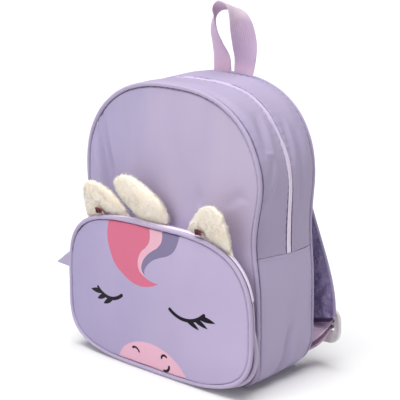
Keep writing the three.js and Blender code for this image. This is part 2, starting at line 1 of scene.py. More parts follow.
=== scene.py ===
# %% [markdown]
# # A child's backpack
# The bag is sewn from lavender cloth: two arched panels, a gusset with a zip over the top,
# and a front pocket with a printed sleeping face, plush ears and a horn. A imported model
# already holds every piece at its real size, so this lesson starts from that frame and
# makes what the frame leaves out: folds, seams, weave, pile, stitches and print.

# %% Load the frame
import math

import bpy
import numpy as np
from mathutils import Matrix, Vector


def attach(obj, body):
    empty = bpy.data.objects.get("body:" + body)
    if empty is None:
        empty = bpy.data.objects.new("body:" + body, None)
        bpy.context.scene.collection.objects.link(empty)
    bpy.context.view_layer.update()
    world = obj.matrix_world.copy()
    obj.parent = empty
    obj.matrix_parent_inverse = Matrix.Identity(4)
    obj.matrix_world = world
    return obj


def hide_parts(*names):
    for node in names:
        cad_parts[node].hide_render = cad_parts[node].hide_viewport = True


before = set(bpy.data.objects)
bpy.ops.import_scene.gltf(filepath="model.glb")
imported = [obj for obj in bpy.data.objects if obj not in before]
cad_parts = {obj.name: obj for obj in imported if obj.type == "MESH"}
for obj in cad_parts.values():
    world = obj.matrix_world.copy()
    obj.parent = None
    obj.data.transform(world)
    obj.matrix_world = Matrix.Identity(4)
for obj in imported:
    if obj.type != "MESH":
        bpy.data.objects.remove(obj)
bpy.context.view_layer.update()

# %% [markdown]
# ## Camera
# The bag was photographed from the front right, a little above it, with a long lens. A long
# lens keeps upright edges almost parallel. The place and the turn below come from matching
# the bag's outline, and the middle of the picture stays the middle of the lens.

# %% Camera
MM = 0.001
CAMERA_PLACE = (1101.6, -1095.8, 530.7)
CAMERA_TURN = (90 - 12.98, 0, 45.24)
LENS, SENSOR = 135, 36

scene = bpy.context.scene
scene.view_settings.view_transform = "Standard"
camera_data = bpy.data.cameras.new("camera")
camera_data.lens, camera_data.sensor_width = LENS, SENSOR
camera = bpy.data.objects.new("camera", camera_data)
camera.location = [MM * c for c in CAMERA_PLACE]
camera.rotation_euler = [math.radians(a) for a in CAMERA_TURN]
scene.collection.objects.link(camera)
scene.camera = camera
print("camera:", LENS, "mm lens,", round(camera.location.length, 2), "m from the bag")

# %% [markdown]
# ## Light and floor
# A white studio has no dark side: most light falls from a wide ceiling, a softer share
# comes from the front, and the white floor throws some back. A sun lamp with a wide
# angle acts as such a ceiling and, unlike an area lamp, lights a large floor evenly, so the
# floor stays white up to the edge of the picture.

# %% Light and floor
CEILING = {"travel": (0.0, 0.07, -1), "strength": 3.9, "spread": 56}
FRONT_FILL = {"travel": (0.14, 0.9, -0.5), "strength": 1.2, "spread": 46}
ROOM_LIGHT = 0.07
FLOOR_HALF = 9.0
FLOOR_WHITE, FLOOR_GLOW = 0.76, 0.06


def add_sun(name, travel, strength, spread):
    data = bpy.data.lights.new(name, "SUN")
    data.energy = strength
    data.angle = math.radians(spread)
    lamp = bpy.data.objects.new(name, data)
    lamp.rotation_euler = Vector(travel).to_track_quat("-Z", "Y").to_euler()
    scene.collection.objects.link(lamp)


add_sun("ceiling", **CEILING)
add_sun("front_fill", **FRONT_FILL)
scene.world = bpy.data.worlds.new("room")
scene.world.use_nodes = True
room = scene.world.node_tree.nodes["Background"]
room.inputs["Color"].default_value = (1, 1, 1, 1)
room.inputs["Strength"].default_value = ROOM_LIGHT

floor_mesh = bpy.data.meshes.new("floor")
corners = [(-1, -1), (1, -1), (1, 1), (-1, 1)]
floor_mesh.from_pydata([(FLOOR_HALF * x, FLOOR_HALF * y, 0) for x, y in corners], [], [(0, 1, 2, 3)])
floor = bpy.data.objects.new("floor", floor_mesh)
scene.collection.objects.link(floor)
floor_finish = bpy.data.materials.new("light_table")
floor_finish.use_nodes = True
table = floor_finish.node_tree.nodes["Principled BSDF"]
table.inputs["Base Color"].default_value = (FLOOR_WHITE, FLOOR_WHITE, FLOOR_WHITE, 1)
table.inputs["Roughness"].default_value = 0.9
table.inputs["Specular IOR Level"].default_value = 0.1
table.inputs["Emission Color"].default_value = (1, 1, 1, 1)
table.inputs["Emission Strength"].default_value = FLOOR_GLOW
floor_mesh.materials.append(floor_finish)
print("light: two suns, a room of strength", ROOM_LIGHT, "and a floor that glows by", FLOOR_GLOW)

# %% [markdown]
# ## Writing finishes as sums
# A material in Blender is a graph of nodes. Placing each node by hand hides the idea, so one
# small class wraps a socket and lets plain Python sums add the nodes: `1 - mask` becomes a
# Math node. Colours are mixed by a function of their own, because a Math node would turn
# them grey.


# %% A wire that does sums
class Wire:
    """One output socket of a material's nodes, for use in Python expressions."""

    def __init__(self, socket):
        self.socket = socket

    def node(self, kind, settings, sockets, output=0):
        """Adds a node: its settings first, then values or links for its sockets."""
        tree = self.socket.id_data
        node = tree.nodes.new("ShaderNode" + kind)
        for name, value in settings.items():
            setattr(node, name, value)
        for key, value in sockets.items():
            if isinstance(value, Wire):
                tree.links.new(value.socket, node.inputs[key])
            else:
                node.inputs[key].default_value = value
        return Wire(node.outputs[output])

    def also(self, output):
        """Another output of the same node."""
        return Wire(self.socket.node.outputs[output])

    def math(self, operation, first, second=0.0):
        return self.node("Math", {"operation": operation}, {0: first, 1: second})

    def step(self, low, high):
        """0 below low, 1 above high, and a smooth slope between them."""
        sockets = {"Value": self, "From Min": low, "From Max": high}
        return self.node("MapRange", {"interpolation_type": "SMOOTHSTEP"}, sockets)

    def sine(self):
        return self.math("SINE", self)

    def __add__(self, other):
        return self.math("ADD", self, other)

    def __sub__(self, other):
        return self.math("SUBTRACT", self, other)

    def __rsub__(self, other):
        return self.math("SUBTRACT", other, self)

    def __mul__(self, other):
        return self.math("MULTIPLY", self, other)

    def __truediv__(self, other):
        return self.math("DIVIDE", self, other)

    def __pow__(self, other):
        return self.math("POWER", self, other)

    def __abs__(self):
        return self.math("ABSOLUTE", self)

    __radd__ = __add__
    __rmul__ = __mul__


# %% Starting a finish
def new_finish(name, constants):
    """A material with its shader's own sockets set, and a wire to start sums from."""
    material = bpy.data.materials.new(name)
    material.use_nodes = True
    shader = material.node_tree.nodes["Principled BSDF"]
    for socket, value in constants.items():
        shader.inputs[socket].default_value = value
    return material, Wire(shader.outputs["BSDF"])


def feed(material, wires):
    """Links wires to the sockets of a material's shader, and gives the material back."""
    tree = material.node_tree
    for socket, wire in wires.items():
        tree.links.new(wire.socket, tree.nodes["Principled BSDF"].inputs[socket])
    return material


def shade(red, green, blue):
    """A colour that is written as on a screen, from 0 to 255, as the light it reflects."""
    linear = [((c / 255 + 0.055) / 1.055) ** 2.4 for c in (red, green, blue)]
    return (*linear, 1.0)


def mix_colour(mask, under, over):
    return mask.node("Mix", {"data_type": "RGBA"}, {0: mask, 6: under, 7: over}, 2)


def cloth_place(start):
    """Where a point lies on the flat cloth, in millimetres: along and across."""
    place = start.node("UVMap", {"uv_map": "cloth"}, {})
    split = start.node("SeparateXYZ", {}, {"Vector": place})
    return split * (1 / MM), split.also("Y") * (1 / MM)


def noise(start, scale, detail=2.0, stretch=(1, 1, 1)):
    """Even noise from 0 to 1 in the bag's own space; scale is in blots to a metre."""
    place = start.node("TexCoord", {}, {}, "Object")
    scaled = start.node("VectorMath", {"operation": "MULTIPLY"}, {0: place, 1: stretch})
    return start.node("TexNoise", {}, {"Vector": scaled, "Scale": scale, "Detail": detail})


def raised(start, height, millimetres, strength=1.0):
    """A normal that makes a height from 0 to 1 stand up by so many millimetres."""
    sockets = {"Height": height, "Distance": millimetres * MM, "Strength": strength}
    return start.node("Bump", {}, sockets)


print("finish tools ready")

# %% [markdown]
# ## Woven cloth
# The walls are a plain polyester weave: warp and weft pass over each other about 1.5 times
# in a millimetre, too fine to see from afar but not from near. Two sine waves multiplied
# give that chequer of raised threads, and a painted shade darkens the gaps between them.
# Dye and light never fall quite evenly, so a slow noise drifts between a cooler and a warmer
# lavender. On the front the whole cloth leans from the darker, cool tone at the left to the
# lighter, warm one at the right: painted shade at the left and painted light at the right.
# Beside a piped seam hardly any light comes down to the cloth, and a dark tone that starts at
# the seam draws that line.


# %% Cloth finish
THREAD_PITCH, FINE_PITCH = 0.65, 0.5
GAP_SHADE_TONE, GAP_SHADE_SHARE = 0.9, 0.35
SEAM_SHADE, SEAM_FADE = shade(112, 98, 133), 0.4
SEAM_PLACES = {"pocket": 4.85, "side": -40.75, "base": -40.3}


def weave(along, across, pitch):
    """A chequer of raised threads, from 0 in the gaps to 1 on the threads."""
    turn = math.pi / pitch
    return 0.5 + 0.5 * ((along * turn).sine() * (across * turn).sine())


def ridges(place, pitch):
    """Even ridges across one direction, from 0 to 1."""
    return 0.5 + 0.5 * (place * (2 * math.pi / pitch)).sine()


def cloth_finish(name, cool, warm, pitch=THREAD_PITCH, lean=0.0, seam=None):
    """Woven cloth; seam is the place across it where the shade beside a piped seam ends."""
    constants = {"Sheen Weight": 0.12, "Sheen Roughness": 0.45, "Specular IOR Level": 0.22}
    material, start = new_finish(name, constants)
    along, across = cloth_place(start)
    # A given lean paints light and shade across the cloth: darker and cooler at the left, lighter and
    # warmer at the right.
    drift = 0.22 + 0.56 * noise(start, 24.0, 3.0, (1, 1, 0.3)) + along * lean
    colour = mix_colour(drift.step(0.2, 0.8), cool, warm)
    threads = weave(along, across, pitch)
    # Painted shade in the gaps between the threads: a darker copy of the cool tone.
    gaps = [GAP_SHADE_TONE * c for c in cool[:3]] + [1.0]
    colour = mix_colour((1 - threads) * GAP_SHADE_SHARE, colour, gaps)
    if seam is not None:
        colour = mix_colour(1 - across.step(seam - SEAM_FADE, seam), colour, SEAM_SHADE)
    return feed(material, {
        "Base Color": colour,
        "Roughness": 0.64 + 0.14 * noise(start, 90.0),
        "Normal": raised(start, threads, 0.06, 0.6),
    })


# Painted light and shade on the front and the pocket: the cloth grows lighter towards the right.
FRONT_LIGHT_LEAN = 0.0022
FRONT_TONES = shade(169, 160, 193), shade(190, 176, 201)
# The strips beside the zip take a darker copy of the front's cloth: painted shade on the sides of the
# bag.
SHADED_SIDE_TONES = shade(170, 160, 191), shade(179, 165, 191)
BASE_TONES = shade(181, 171, 204), shade(189, 175, 203)
FRONT_CLOTH = cloth_finish("front_cloth", *FRONT_TONES, lean=FRONT_LIGHT_LEAN)
POCKET_CLOTH = cloth_finish("pocket_cloth", *FRONT_TONES, lean=FRONT_LIGHT_LEAN, seam=SEAM_PLACES["pocket"])
SHADED_SIDE_CLOTH = cloth_finish("side_cloth_painted_shade", *SHADED_SIDE_TONES, seam=SEAM_PLACES["side"])
BASE_CLOTH = cloth_finish("base_cloth", *BASE_TONES, seam=SEAM_PLACES["base"])
PIPING_CLOTH = cloth_finish("piping_cloth", shade(176, 166, 195), shade(183, 169, 196), FINE_PITCH)
BACK_CLOTH = cloth_finish("back_cloth", shade(172, 163, 196), shade(180, 167, 196))
for finish in (FRONT_CLOTH, POCKET_CLOTH, SHADED_SIDE_CLOTH, BASE_CLOTH, PIPING_CLOTH, BACK_CLOTH):
    print("cloth finish:", finish.name)

# %% [markdown]
# ## Sheets from rows of points
# Every cloth piece here is a sheet, so it can be made as a grid: rows of points worked out
# with numpy and joined by quads. A grid gives even quads, which shade smoothly, and each
# point can carry its place on the flat cloth in a UV map, which the weave then follows.


# %% Grid tools
INSIDE = np.array([0.0, 0.0, 150.0])


def lerp(a, b, t):
    return a + (b - a) * t


def ease(t):
    t = np.clip(t, 0, 1)
    return t * t * (3 - 2 * t)


def unit(vectors):
    return vectors / np.linalg.norm(vectors, axis=-1, keepdims=True)


def bent(values, power):
    """The sines or cosines of a circle, changed to those of a squarer or sharper ring."""
    return np.sign(values) * np.abs(values) ** power


def path_length(path):
    """How far each point of a path is from its start."""
    return np.r_[0, np.cumsum(np.linalg.norm(np.diff(path, axis=0), axis=1))]


def flat_places(along, across):
    return np.stack(np.broadcast_arrays(along[:, None], across[None]), axis=-1)


def new_piece(name, points, faces):
    """One smooth mesh from points in millimetres."""
    mesh = bpy.data.meshes.new(name)
    mesh.from_pydata((np.asarray(points) * MM).tolist(), [], faces)
    mesh.shade_smooth()
    piece = bpy.data.objects.new(name, mesh)
    scene.collection.objects.link(piece)
    return piece


def turn_outward(piece, inside=INSIDE):
    """Turns every face over if most of the surface looks towards the inside."""
    polygons = piece.data.polygons
    centres, normals = np.empty((2, len(polygons), 3))
    areas = np.empty(len(polygons))
    polygons.foreach_get("center", centres.reshape(-1))
    polygons.foreach_get("normal", normals.reshape(-1))
    polygons.foreach_get("area", areas)
    if np.sum(areas * np.sum((centres - inside * MM) * normals, axis=1)) < 0:
        piece.data.flip_normals()


def grid_piece(name, points, cloth, ring=False, caps=False):
    """A grid of quads. cloth has each point's place on the flat cloth, in millimetres, and
    where the columns close into a ring, one column more than points."""
    rows, columns = points.shape[:2]
    i, j = np.indices((rows - 1, columns - 1 + ring)).reshape(2, -1)
    corner_rows = np.stack([i, i, i + 1, i + 1], axis=1)
    corner_columns = np.stack([j, j + 1, j + 1, j], axis=1)
    faces = (corner_rows * columns + corner_columns % columns).tolist()
    places = (cloth[corner_rows, corner_columns] * MM).reshape(-1, 2)
    if caps:
        for row in (0, rows - 1):
            ring_points = range(row * columns, row * columns + columns)
            faces.append(list(ring_points) if row else list(ring_points)[::-1])
            places = np.vstack([places, np.zeros((columns, 2))])
    piece = new_piece(name, points.reshape(-1, 3), faces)
    layer = piece.data.uv_layers.new(name="cloth")
    layer.uv.foreach_set("vector", places.reshape(-1).astype(np.float32))
    turn_outward(piece)
    return piece


def thicken(piece, millimetres):
    wall = piece.modifiers.new("wall", "SOLIDIFY")
    wall.thickness = millimetres * MM
    wall.offset = -1
    return piece


def dress(piece, finish, slot, *nodes):
    """Gives a piece its finish, sets it under the root and hides the imported nodes that it stands for;
    slot is not used.
    """
    piece.data.materials.append(finish)
    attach(piece, "root")
    if nodes:
        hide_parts(*nodes)
    print("made", piece.name, "with", len(piece.data.polygons), "faces")
    return piece


# %% [markdown]
# ## The shape of the body
# Seen from the front the body is an arch on a rounded base, a little narrower and taller at
# the back. The outline is worked out for any share of the depth, and every strip of the
# gusset reads points from it by their distance along the seam, so that neighbours meet.

# %% Body sizes
DEPTH, HALF = 90, 45
FRONT_HALF_WIDTH, BACK_HALF_WIDTH = 124, 118
FRONT_TOP, BACK_TOP = 300, 305
FRONT_CORNER, BACK_CORNER = 26, 39
ARCH_LEVEL, ARCH_POWER = 200, 2.45
CROSS_SEAM, SEAM_LIFT = 137, 2.6
SWELL, SWELL_RUN = 2.6, 14
PANEL_CENTRE, FRONT_CROWN, BACK_CROWN, CROWN_POWER = 150, 7, 3, 2.2
FRONT_CORD, BACK_CORD, POCKET_CORD = 2.3, 1.4, 2.3
GAP, TUCK = 0.3, 1.0


def arch(t, width, top):
    bend = 2 / ARCH_POWER
    x = width * np.abs(np.cos(t * np.pi / 2)) ** bend
    return x, ARCH_LEVEL + (top - ARCH_LEVEL) * np.sin(t * np.pi / 2) ** bend


def even_arch(count):
    """Steps along the arch that lie at even distances from each other."""
    t = np.linspace(0, 1, 4001)
    run = path_length(np.stack(arch(t, FRONT_HALF_WIDTH, FRONT_TOP), axis=1))
    return np.interp(np.linspace(0, run[-1], count + 1), run, t)


def mirrored_outline(right_half):
    """A closed outline from its right half, as x, z and the outward normal's x and z."""
    left_half = right_half[-2:0:-1] * (-1, 1)
    points = np.vstack([right_half, left_half])
    way = np.roll(points, -1, axis=0) - np.roll(points, 1, axis=0)
    normals = unit(np.stack([way[:, 1], -way[:, 0]], axis=1))
    return np.hstack([points, normals])


STEPS = {"base": 24, "corner": 18, "lower": 34, "upper": 20}
ARCH_STEPS = even_arch(76)


def body_outline(share):
    width = lerp(FRONT_HALF_WIDTH, BACK_HALF_WIDTH, share)
    top = lerp(FRONT_TOP, BACK_TOP, share)
    r = lerp(FRONT_CORNER, BACK_CORNER, share)
    t = {run: np.arange(1, count + 1) / count for run, count in STEPS.items()}
    turn = t["corner"] * np.pi / 2
    base = np.stack([np.r_[0, t["base"]] * (width - r), np.full(STEPS["base"] + 1, SEAM_LIFT)], 1)
    corner = np.stack([width - r + r * np.sin(turn), SEAM_LIFT + r - r * np.cos(turn)], 1)
    lower = np.stack([np.full(STEPS["lower"], width), lerp(SEAM_LIFT + r, CROSS_SEAM, t["lower"])], 1)
    upper = np.stack([np.full(STEPS["upper"], width), lerp(CROSS_SEAM, ARCH_LEVEL, t["upper"])], 1)
    over = np.stack(arch(ARCH_STEPS[1:], width, top), 1)
    return mirrored_outline(np.vstack([base, corner, lower, upper, over]))


def way_round(outline):
    """Distance of each station along a closed outline, and the whole way round."""
    run = path_length(np.vstack([outline[:, :2], outline[:1, :2]]))
    return run[:-1], run[-1]


def read_outline(outline, stations, around, along):
    return np.stack([np.interp(along, stations, column, period=around) for column in outline.T])


BODY_WAY, BODY_AROUND = way_round(body_outline(0.5))
SEAM_AT = BODY_WAY[STEPS["base"] + STEPS["corner"] + STEPS["lower"]]
print("body seam:", round(BODY_AROUND), "mm round, cross seam at", round(SEAM_AT), "mm")

# %% [markdown]
# ## Dents, creases and puckers
# Cloth is never as smooth as its pattern. Three things mark it here: broad dents where the
# stuffed bag has sunk or bulged, a few single creases that the photograph shows, and fine
# puckers along the seams, where the thread draws the cloth in. The dents are the packed
# model's own, so the fine surface still lies on it. Simulation would put creases anywhere,
# and a short table puts each one where it belongs.

# %% Dents and creases
DENTS = [  # centre, reach, movement
    ((124, -42, 152), (45, 34, 34), (-9, 3, 0)),
    ((126, -42, 214), (40, 34, 26), (2.5, 0, 0)),
    ((-126, -40, 200), (40, 60, 70), (-7, 0, 0)),
    ((0, 4, 305), (90, 32, 22), (0, 0, -2.2)),
    ((108, 4, 252), (30, 22, 40), (-2.5, 0, -2)),
    ((120, 45, 160), (40, 26, 40), (-4.5, 0, 0)),
    ((-70, -50, 215), (22, 20, 50), (0, 3, 0)),
    ((45, -52, 200), (26, 20, 40), (0, 2.5, 0)),
    ((122, 12, 48), (30, 12, 26), (-3, 0, 0)),
    ((112, -74, 12), (60, 22, 45), (5, -3, 0)),
    ((136, -70, 65), (50, 24, 60), (3.5, -1, 0)),
]
CREASES = [  # start, end, width, height
    # right side, in front of the zip
    ((90, -16, 281), (121, -33, 238), 6, -2.6),
    ((92, -10, 279), (122, -22, 230), 4.5, 1.5),
    ((117.4, -32, 243), (119.5, -17, 240), 2.2, 1.4),
    ((119, -14, 242), (127, -38, 190), 4, 2.0),
    ((117.5, -22, 238), (125, -42, 188), 4, -1.8),
    # right side, behind the zip
    ((96, 14, 273), (123, 7, 215), 2.8, -1.7),
    ((97, 20, 271), (123, 12, 215), 3, 1.5),
    ((103, 27, 263), (123, 17, 180), 3.6, -2.2),
    ((105, 34, 260), (122, 25, 184), 4, 1.6),
    # right side, near the base
    ((123, 10, 62), (116.5, -9, 4), 4.2, -5.4),
    ((122.5, 19, 58), (115, 1, 6), 5, 3.0),
    # front, at the left
    ((-107, -46, 262), (-79, -48, 172), 4.0, -5.2),
    ((-99, -46, 260), (-70, -48, 176), 6, 3.0),
    ((-115, -46, 250), (-89, -48, 166), 3.4, -4.4),
    ((-119, -46, 236), (-99, -47, 162), 4.5, 2.0),
    # front, at the right
    ((37, -50, 188), (54, -50, 190.6), 9, -2.2),
    ((94, -48, 200.4), (117, -46, 195.6), 4, -1.4),
    ((78, -49, 184), (114, -46, 210), 6, -1.5),
    ((82, -49, 180), (117, -46, 203), 6, 0.9),
]
CREASE_DEPTH = 14.0
WAVE_HEIGHT, FINE_SHARE = 0.16, 0.35
WAVE_LENGTH, FINE_LENGTH = 85, 38
GATHER, SMALL_GATHER = 0.28, 0.22
waves = np.random.default_rng(11)
WAVE_WAYS = waves.normal(size=(3, 7)) * (2 * np.pi / WAVE_LENGTH)
WAVE_STARTS = waves.uniform(0, 2 * np.pi, 7)
FINE_WAYS = waves.normal(size=(3, 6)) * (2 * np.pi / FINE_LENGTH)


def settle(points):
    """Moves points by the dents that reach them."""
    moved = points.copy()
    for centre, reach, move in DENTS:
        away = np.sum(((points - centre) / np.array(reach)) ** 2, axis=-1)
        moved += np.exp(-away)[..., None] * move
    return moved


def normals_of(points):
    normals = unit(np.cross(np.gradient(points, axis=0), np.gradient(points, axis=1)))
    return normals * np.sign(np.sum((points - INSIDE) * normals))


def lifted(points, rise):
    """A sheet moved along its own normals by a rise at each point."""
    return points + normals_of(points) * rise[..., None]


def crease(points, wave_height=WAVE_HEIGHT):
    """Settles a sheet and adds the creases and a slow wave along its normals. A crease is
    drawn as a straight line, and reaches the cloth that lies near it on either side."""
    points = settle(points)
    rise = wave_height * np.sin(points @ WAVE_WAYS + WAVE_STARTS).sum(-1)
    rise = rise + FINE_SHARE * wave_height * np.sin(points @ FINE_WAYS + WAVE_STARTS[:6]).sum(-1)
    normals = normals_of(points)
    for start, end, width, height in CREASES:
        run = np.subtract(end, start)
        t = np.clip((points - start) @ run / (run @ run), 0, 1)
        offset = points - start - t[..., None] * run
        depth = np.sum(offset * normals, axis=-1)
        away = np.linalg.norm(offset - depth[..., None] * normals, axis=-1)
        reach = np.exp(-((away / width) ** 2) - (depth / CREASE_DEPTH) ** 2)
        rise = rise + height * np.sin(np.pi * t) * reach
    return points + normals * rise[..., None]


def pucker(along, from_seam, height=GATHER, pitch=8.5, reach=6.0):
    """Small gathers that die out away from a seam."""
    uneven = 2 * np.pi * along / pitch + 1.7 * np.sin(along / 23) + np.sin(along / 7.1)
    return height * np.sin(uneven) * np.exp(-from_seam / reach)


def roll(from_edge, reach, drop, slope=0.6):
    """How far an edge turns in: all of the drop within a narrow slope at its reach."""
    return -drop * ease((reach - from_edge) / slope)


# %% [markdown]
# ## Gusset
# The gusset is the band round the sides: two strips beside the zip over the top, and one
# wide strip below that also makes the base. At the piped seams the cloth turns in, which
# leaves the fine dark line that seams have, and at the zip it ends in a folded edge.


# %% Gusset strips
def swell_at(y):
    return SWELL * ease(np.minimum(HALF - np.abs(y), SWELL_RUN) / SWELL_RUN)


ZIP_LEAN, LEAN_FROM, LEAN_RUN = 2.4, 70, 90


def from_top(along):
    """How far along the seam a place is from the top of the arch."""
    return np.abs(along - BODY_AROUND / 2)


def down_the_side(along):
    """0 on top of the arch and 1 down the sides."""
    return ease((from_top(along) - LEAN_FROM) / LEAN_RUN)


def gusset_points(along, depths, sink=0.0):
    """Points of the gusset before it settles: rows run along it and columns go back. The
    middle of the gusset, where the zip is, lies further back down the sides."""
    lean = ZIP_LEAN * down_the_side(along)
    columns = []
    for y, drop in zip(depths, np.broadcast_to(sink, np.shape(depths))):
        x, z, nx, nz = read_outline(body_outline((y + HALF) / DEPTH), BODY_WAY, BODY_AROUND, along)
        out = swell_at(y) - drop
        back = y + lean * (1 - (y / HALF) ** 2)
        columns.append(np.stack([x + nx * out, back, z + nz * out], axis=1))
    return np.stack(columns, axis=1)


def close_rows(start, end, count):
    """Steps between two edges that lie closer together near both of them."""
    t = np.linspace(0, 1, count + 1)
    return lerp(start, end, lerp(t, (1 - np.cos(np.pi * t)) / 2, 0.75))


CLOSING, CLOSING_REACH = 1.5, 14
CLOSES_FROM, CLOSES_IN = 30, 40
OPENS_FROM, OPENS_IN = 125, 70
SIDE_GROOVE = TUCK + 2.1
FOLD_REACH, FOLD_DROP = 0.7, 0.3
END_REACH, END_DROP = 1.0, 0.35


def closing(along):
    """How far the strips close over the zip on the shoulders of the arch."""
    closed = ease((from_top(along) - CLOSES_FROM) / CLOSES_IN)
    return CLOSING * closed * (1 - ease((from_top(along) - OPENS_FROM) / OPENS_IN))


def gusset_sheet(along, depths, run, front, back, piped_front, piped_back):
    """The settled cloth of one strip at any distances along it and depths. On the shoulders
    of the arch its edge at the zip comes closer to the other strip's."""
    from_front, from_back = depths - front, back - depths
    sink = np.zeros(len(depths))
    for piped, distance in ((piped_front, from_front), (piped_back, from_back)):
        reach, drop = (SIDE_GROOVE, piped) if piped else (FOLD_REACH, FOLD_DROP)
        sink = sink - roll(distance, reach, drop)
    points = gusset_points(along, depths, sink)
    if not (piped_front and piped_back):
        from_zip = from_back if piped_front else from_front
        near = np.exp(-from_zip / CLOSING_REACH) * (1 if piped_front else -1)
        points[..., 1] += closing(along)[:, None] * near
    gathers = pucker(along[:, None], np.minimum(from_front, from_back)[None])
    ends = np.minimum(along - run[0], run[1] - along)[:, None]
    lift = gathers + roll(ends, END_REACH, END_DROP)
    points = crease(lifted(points, lift))
    points[..., 2] = np.maximum(points[..., 2], 0)
    return points


FRONT_EDGE, BACK_EDGE = -HALF + TUCK, HALF - TUCK / 2
ZIP_FRONT, ZIP_BACK = -4.4, 4.7
STRIP_STEP, ROWS_ACROSS, CLOTH_THICK = 1.8, 40, 1.2
UPPER = (SEAM_AT + GAP / 2, BODY_AROUND - SEAM_AT - GAP / 2)
LOWER = (-SEAM_AT + GAP / 2, SEAM_AT - GAP / 2)
STRIPS = [  # name, run, front edge, back edge, how deep it turns in at a piped front or back
    ("zip_gusset_front", UPPER, FRONT_EDGE, ZIP_FRONT, 3.2, 0),
    ("zip_gusset_back", UPPER, ZIP_BACK, BACK_EDGE, 0, 0.25),
    ("bottom_gusset", LOWER, FRONT_EDGE, BACK_EDGE, 3.2, 0.5),
]
for name, run, front, back, *piped in STRIPS:
    steps = int((run[1] - run[0]) / STRIP_STEP)
    along = np.r_[run[0], np.linspace(run[0] + 1, run[1] - 1, steps), run[1]]
    depths = close_rows(front, back, ROWS_ACROSS)
    cloth = flat_places(along, depths)
    strip = grid_piece(name + "_cloth", gusset_sheet(along, depths, run, front, back, *piped), cloth)
    # The upper strips wear the darker copy of the cloth, a painted shade.
    finish = BASE_CLOTH if name == "bottom_gusset" else SHADED_SIDE_CLOTH
    dress(thicken(strip, CLOTH_THICK), finish, "body_cloth", name)

# %% [markdown]
# ## Panels
# The front and back panels fill the arched seam. A grid whose outer square is bent round to
# the seam line has no pole in the middle, where quads would crowd together. Each panel bows
# outward like cloth over a full bag, and its rim turns in beside the piping.


# %% Panels
def inset(outline, distance):
    return outline[:, :2] - outline[:, 2:] * distance


def filled_grid(rim, centre, shoulder, steps):
    """Points that fill a closed rim: x, z, the share of the way out from the centre, the
    distance from the rim and the place along it. shoulder gives the two corners of the right
    side as shares of the half way round."""
    line = np.linspace(-1, 1, steps + 1)
    line = lerp(line, np.sin(line * np.pi / 2), 0.8)
    a, b = np.meshgrid(line, line)
    share = np.maximum(np.abs(a), np.abs(b))
    scale = np.where(share == 0, 1, share)
    a, b = a / scale, b / scale
    side = np.where(b >= 1, 4 - a, np.where(a >= 1, 2 + b, 6 - b))
    way = np.where(b <= -1, np.mod(a, 8), side)
    stations, around = way_round(rim)
    low, high = shoulder[0] * around / 2, shoulder[1] * around / 2
    marks = [0, low, high, around / 2, around - high, around - low, around]
    along = np.interp(way, [0, 1, 3, 4, 5, 7, 8], marks)
    x, z = read_outline(rim, stations, around, along.ravel()).reshape(2, *along.shape)
    return share * x, lerp(centre, z, share), share, np.hypot(x, z - centre) * (1 - share), along


def crown(share):
    return 1 - share**CROWN_POWER


PANEL_GROOVE, PANEL_LIFT, BACK_PAD_THICK = TUCK + 1.6, 0.8, 5.0


def panel(name, rim, centre, depth_at, shoulder, steps=110, drop=3.0):
    """A sheet that fills a rim, and its places on the flat cloth."""
    x, z, share, from_rim, along = filled_grid(rim, centre, shoulder, steps)
    out = depth_at(x, z, share)
    facing = np.sign(out.flat[0])
    out = out + facing * (roll(from_rim, PANEL_GROOVE, drop) + pucker(along, from_rim, SMALL_GATHER))
    cloth = np.stack([x, z], axis=-1)
    return grid_piece(name, crease(np.stack([x, out, z], axis=-1)), cloth), cloth


FRONT_RIM = inset(body_outline(0), TUCK)
BACK_RIM = inset(body_outline(1), TUCK)
FACE = HALF + PANEL_LIFT
SHOULDER = (0.27, 0.68)
front_panel, cloth = panel(
    "front_panel_cloth", FRONT_RIM, PANEL_CENTRE,
    lambda x, z, f: -FACE - FRONT_CROWN * crown(f), SHOULDER,
)
dress(thicken(front_panel, CLOTH_THICK), FRONT_CLOTH, "body_cloth", "front_panel")
back_panel, cloth = panel(
    "back_panel_pad", BACK_RIM, PANEL_CENTRE,
    lambda x, z, f: FACE + BACK_CROWN * crown(f), SHOULDER, drop=1.5,
)
dress(thicken(back_panel, BACK_PAD_THICK), BACK_CLOTH, "back_pad", "back_panel")

# %% [markdown]
# ## Piping
# A cord wrapped in a bias strip of cloth stiffens each seam. It is a long tube round the
# seam line. A true tube would look extruded, so its radius swells and shrinks a little where
# the stitches pinch it.


# %% Piping
CORD_STEP, PINCH = 2.6, 0.03


def piping(name, outline, depth, radius, sides=12):
    """A cord along an outline; depth gives y for each x and z."""
    stations, around = way_round(outline)
    along = np.linspace(0, around, int(around / CORD_STEP))
    x, z, nx, nz = read_outline(outline, stations, around, along)
    y = depth(x, z)
    turn = np.linspace(0, 2 * np.pi, sides, endpoint=False)
    pinch = radius * (1 + PINCH * np.sin(along / 1.9) + PINCH * np.sin(along / 5.3))
    out = pinch[:, None] * np.cos(turn)
    points = np.stack([
        x[:, None] + nx[:, None] * out,
        y[:, None] + pinch[:, None] * np.sin(turn),
        z[:, None] + nz[:, None] * out,
    ], axis=-1)
    cloth = flat_places(along, np.linspace(0, 2 * np.pi * radius, sides + 1))
    bias = np.stack([cloth[..., 0] + cloth[..., 1], cloth[..., 0] - cloth[..., 1]], axis=-1)
    return grid_piece(name, settle(points), bias, ring=True)


for name, share, y, radius in (
    ("front_piping", 0, -HALF, FRONT_CORD), ("back_piping", 1, HALF, BACK_CORD),
):
    cord = piping(name + "_cloth", body_outline(share), lambda x, z: np.full_like(x, y), radius)
    dress(cord, PIPING_CLOTH, "piping", name)

# %% [markdown]
# ## Zips
# Both zips are nylon coils: two rows of small loops that mesh along the middle, on a woven
# tape. The loops are 1.5 mm apart, so they are modelled, as ridges across a low dome with a
# groove where the two rows meet. The rest of the tape lies under the folded cloth.

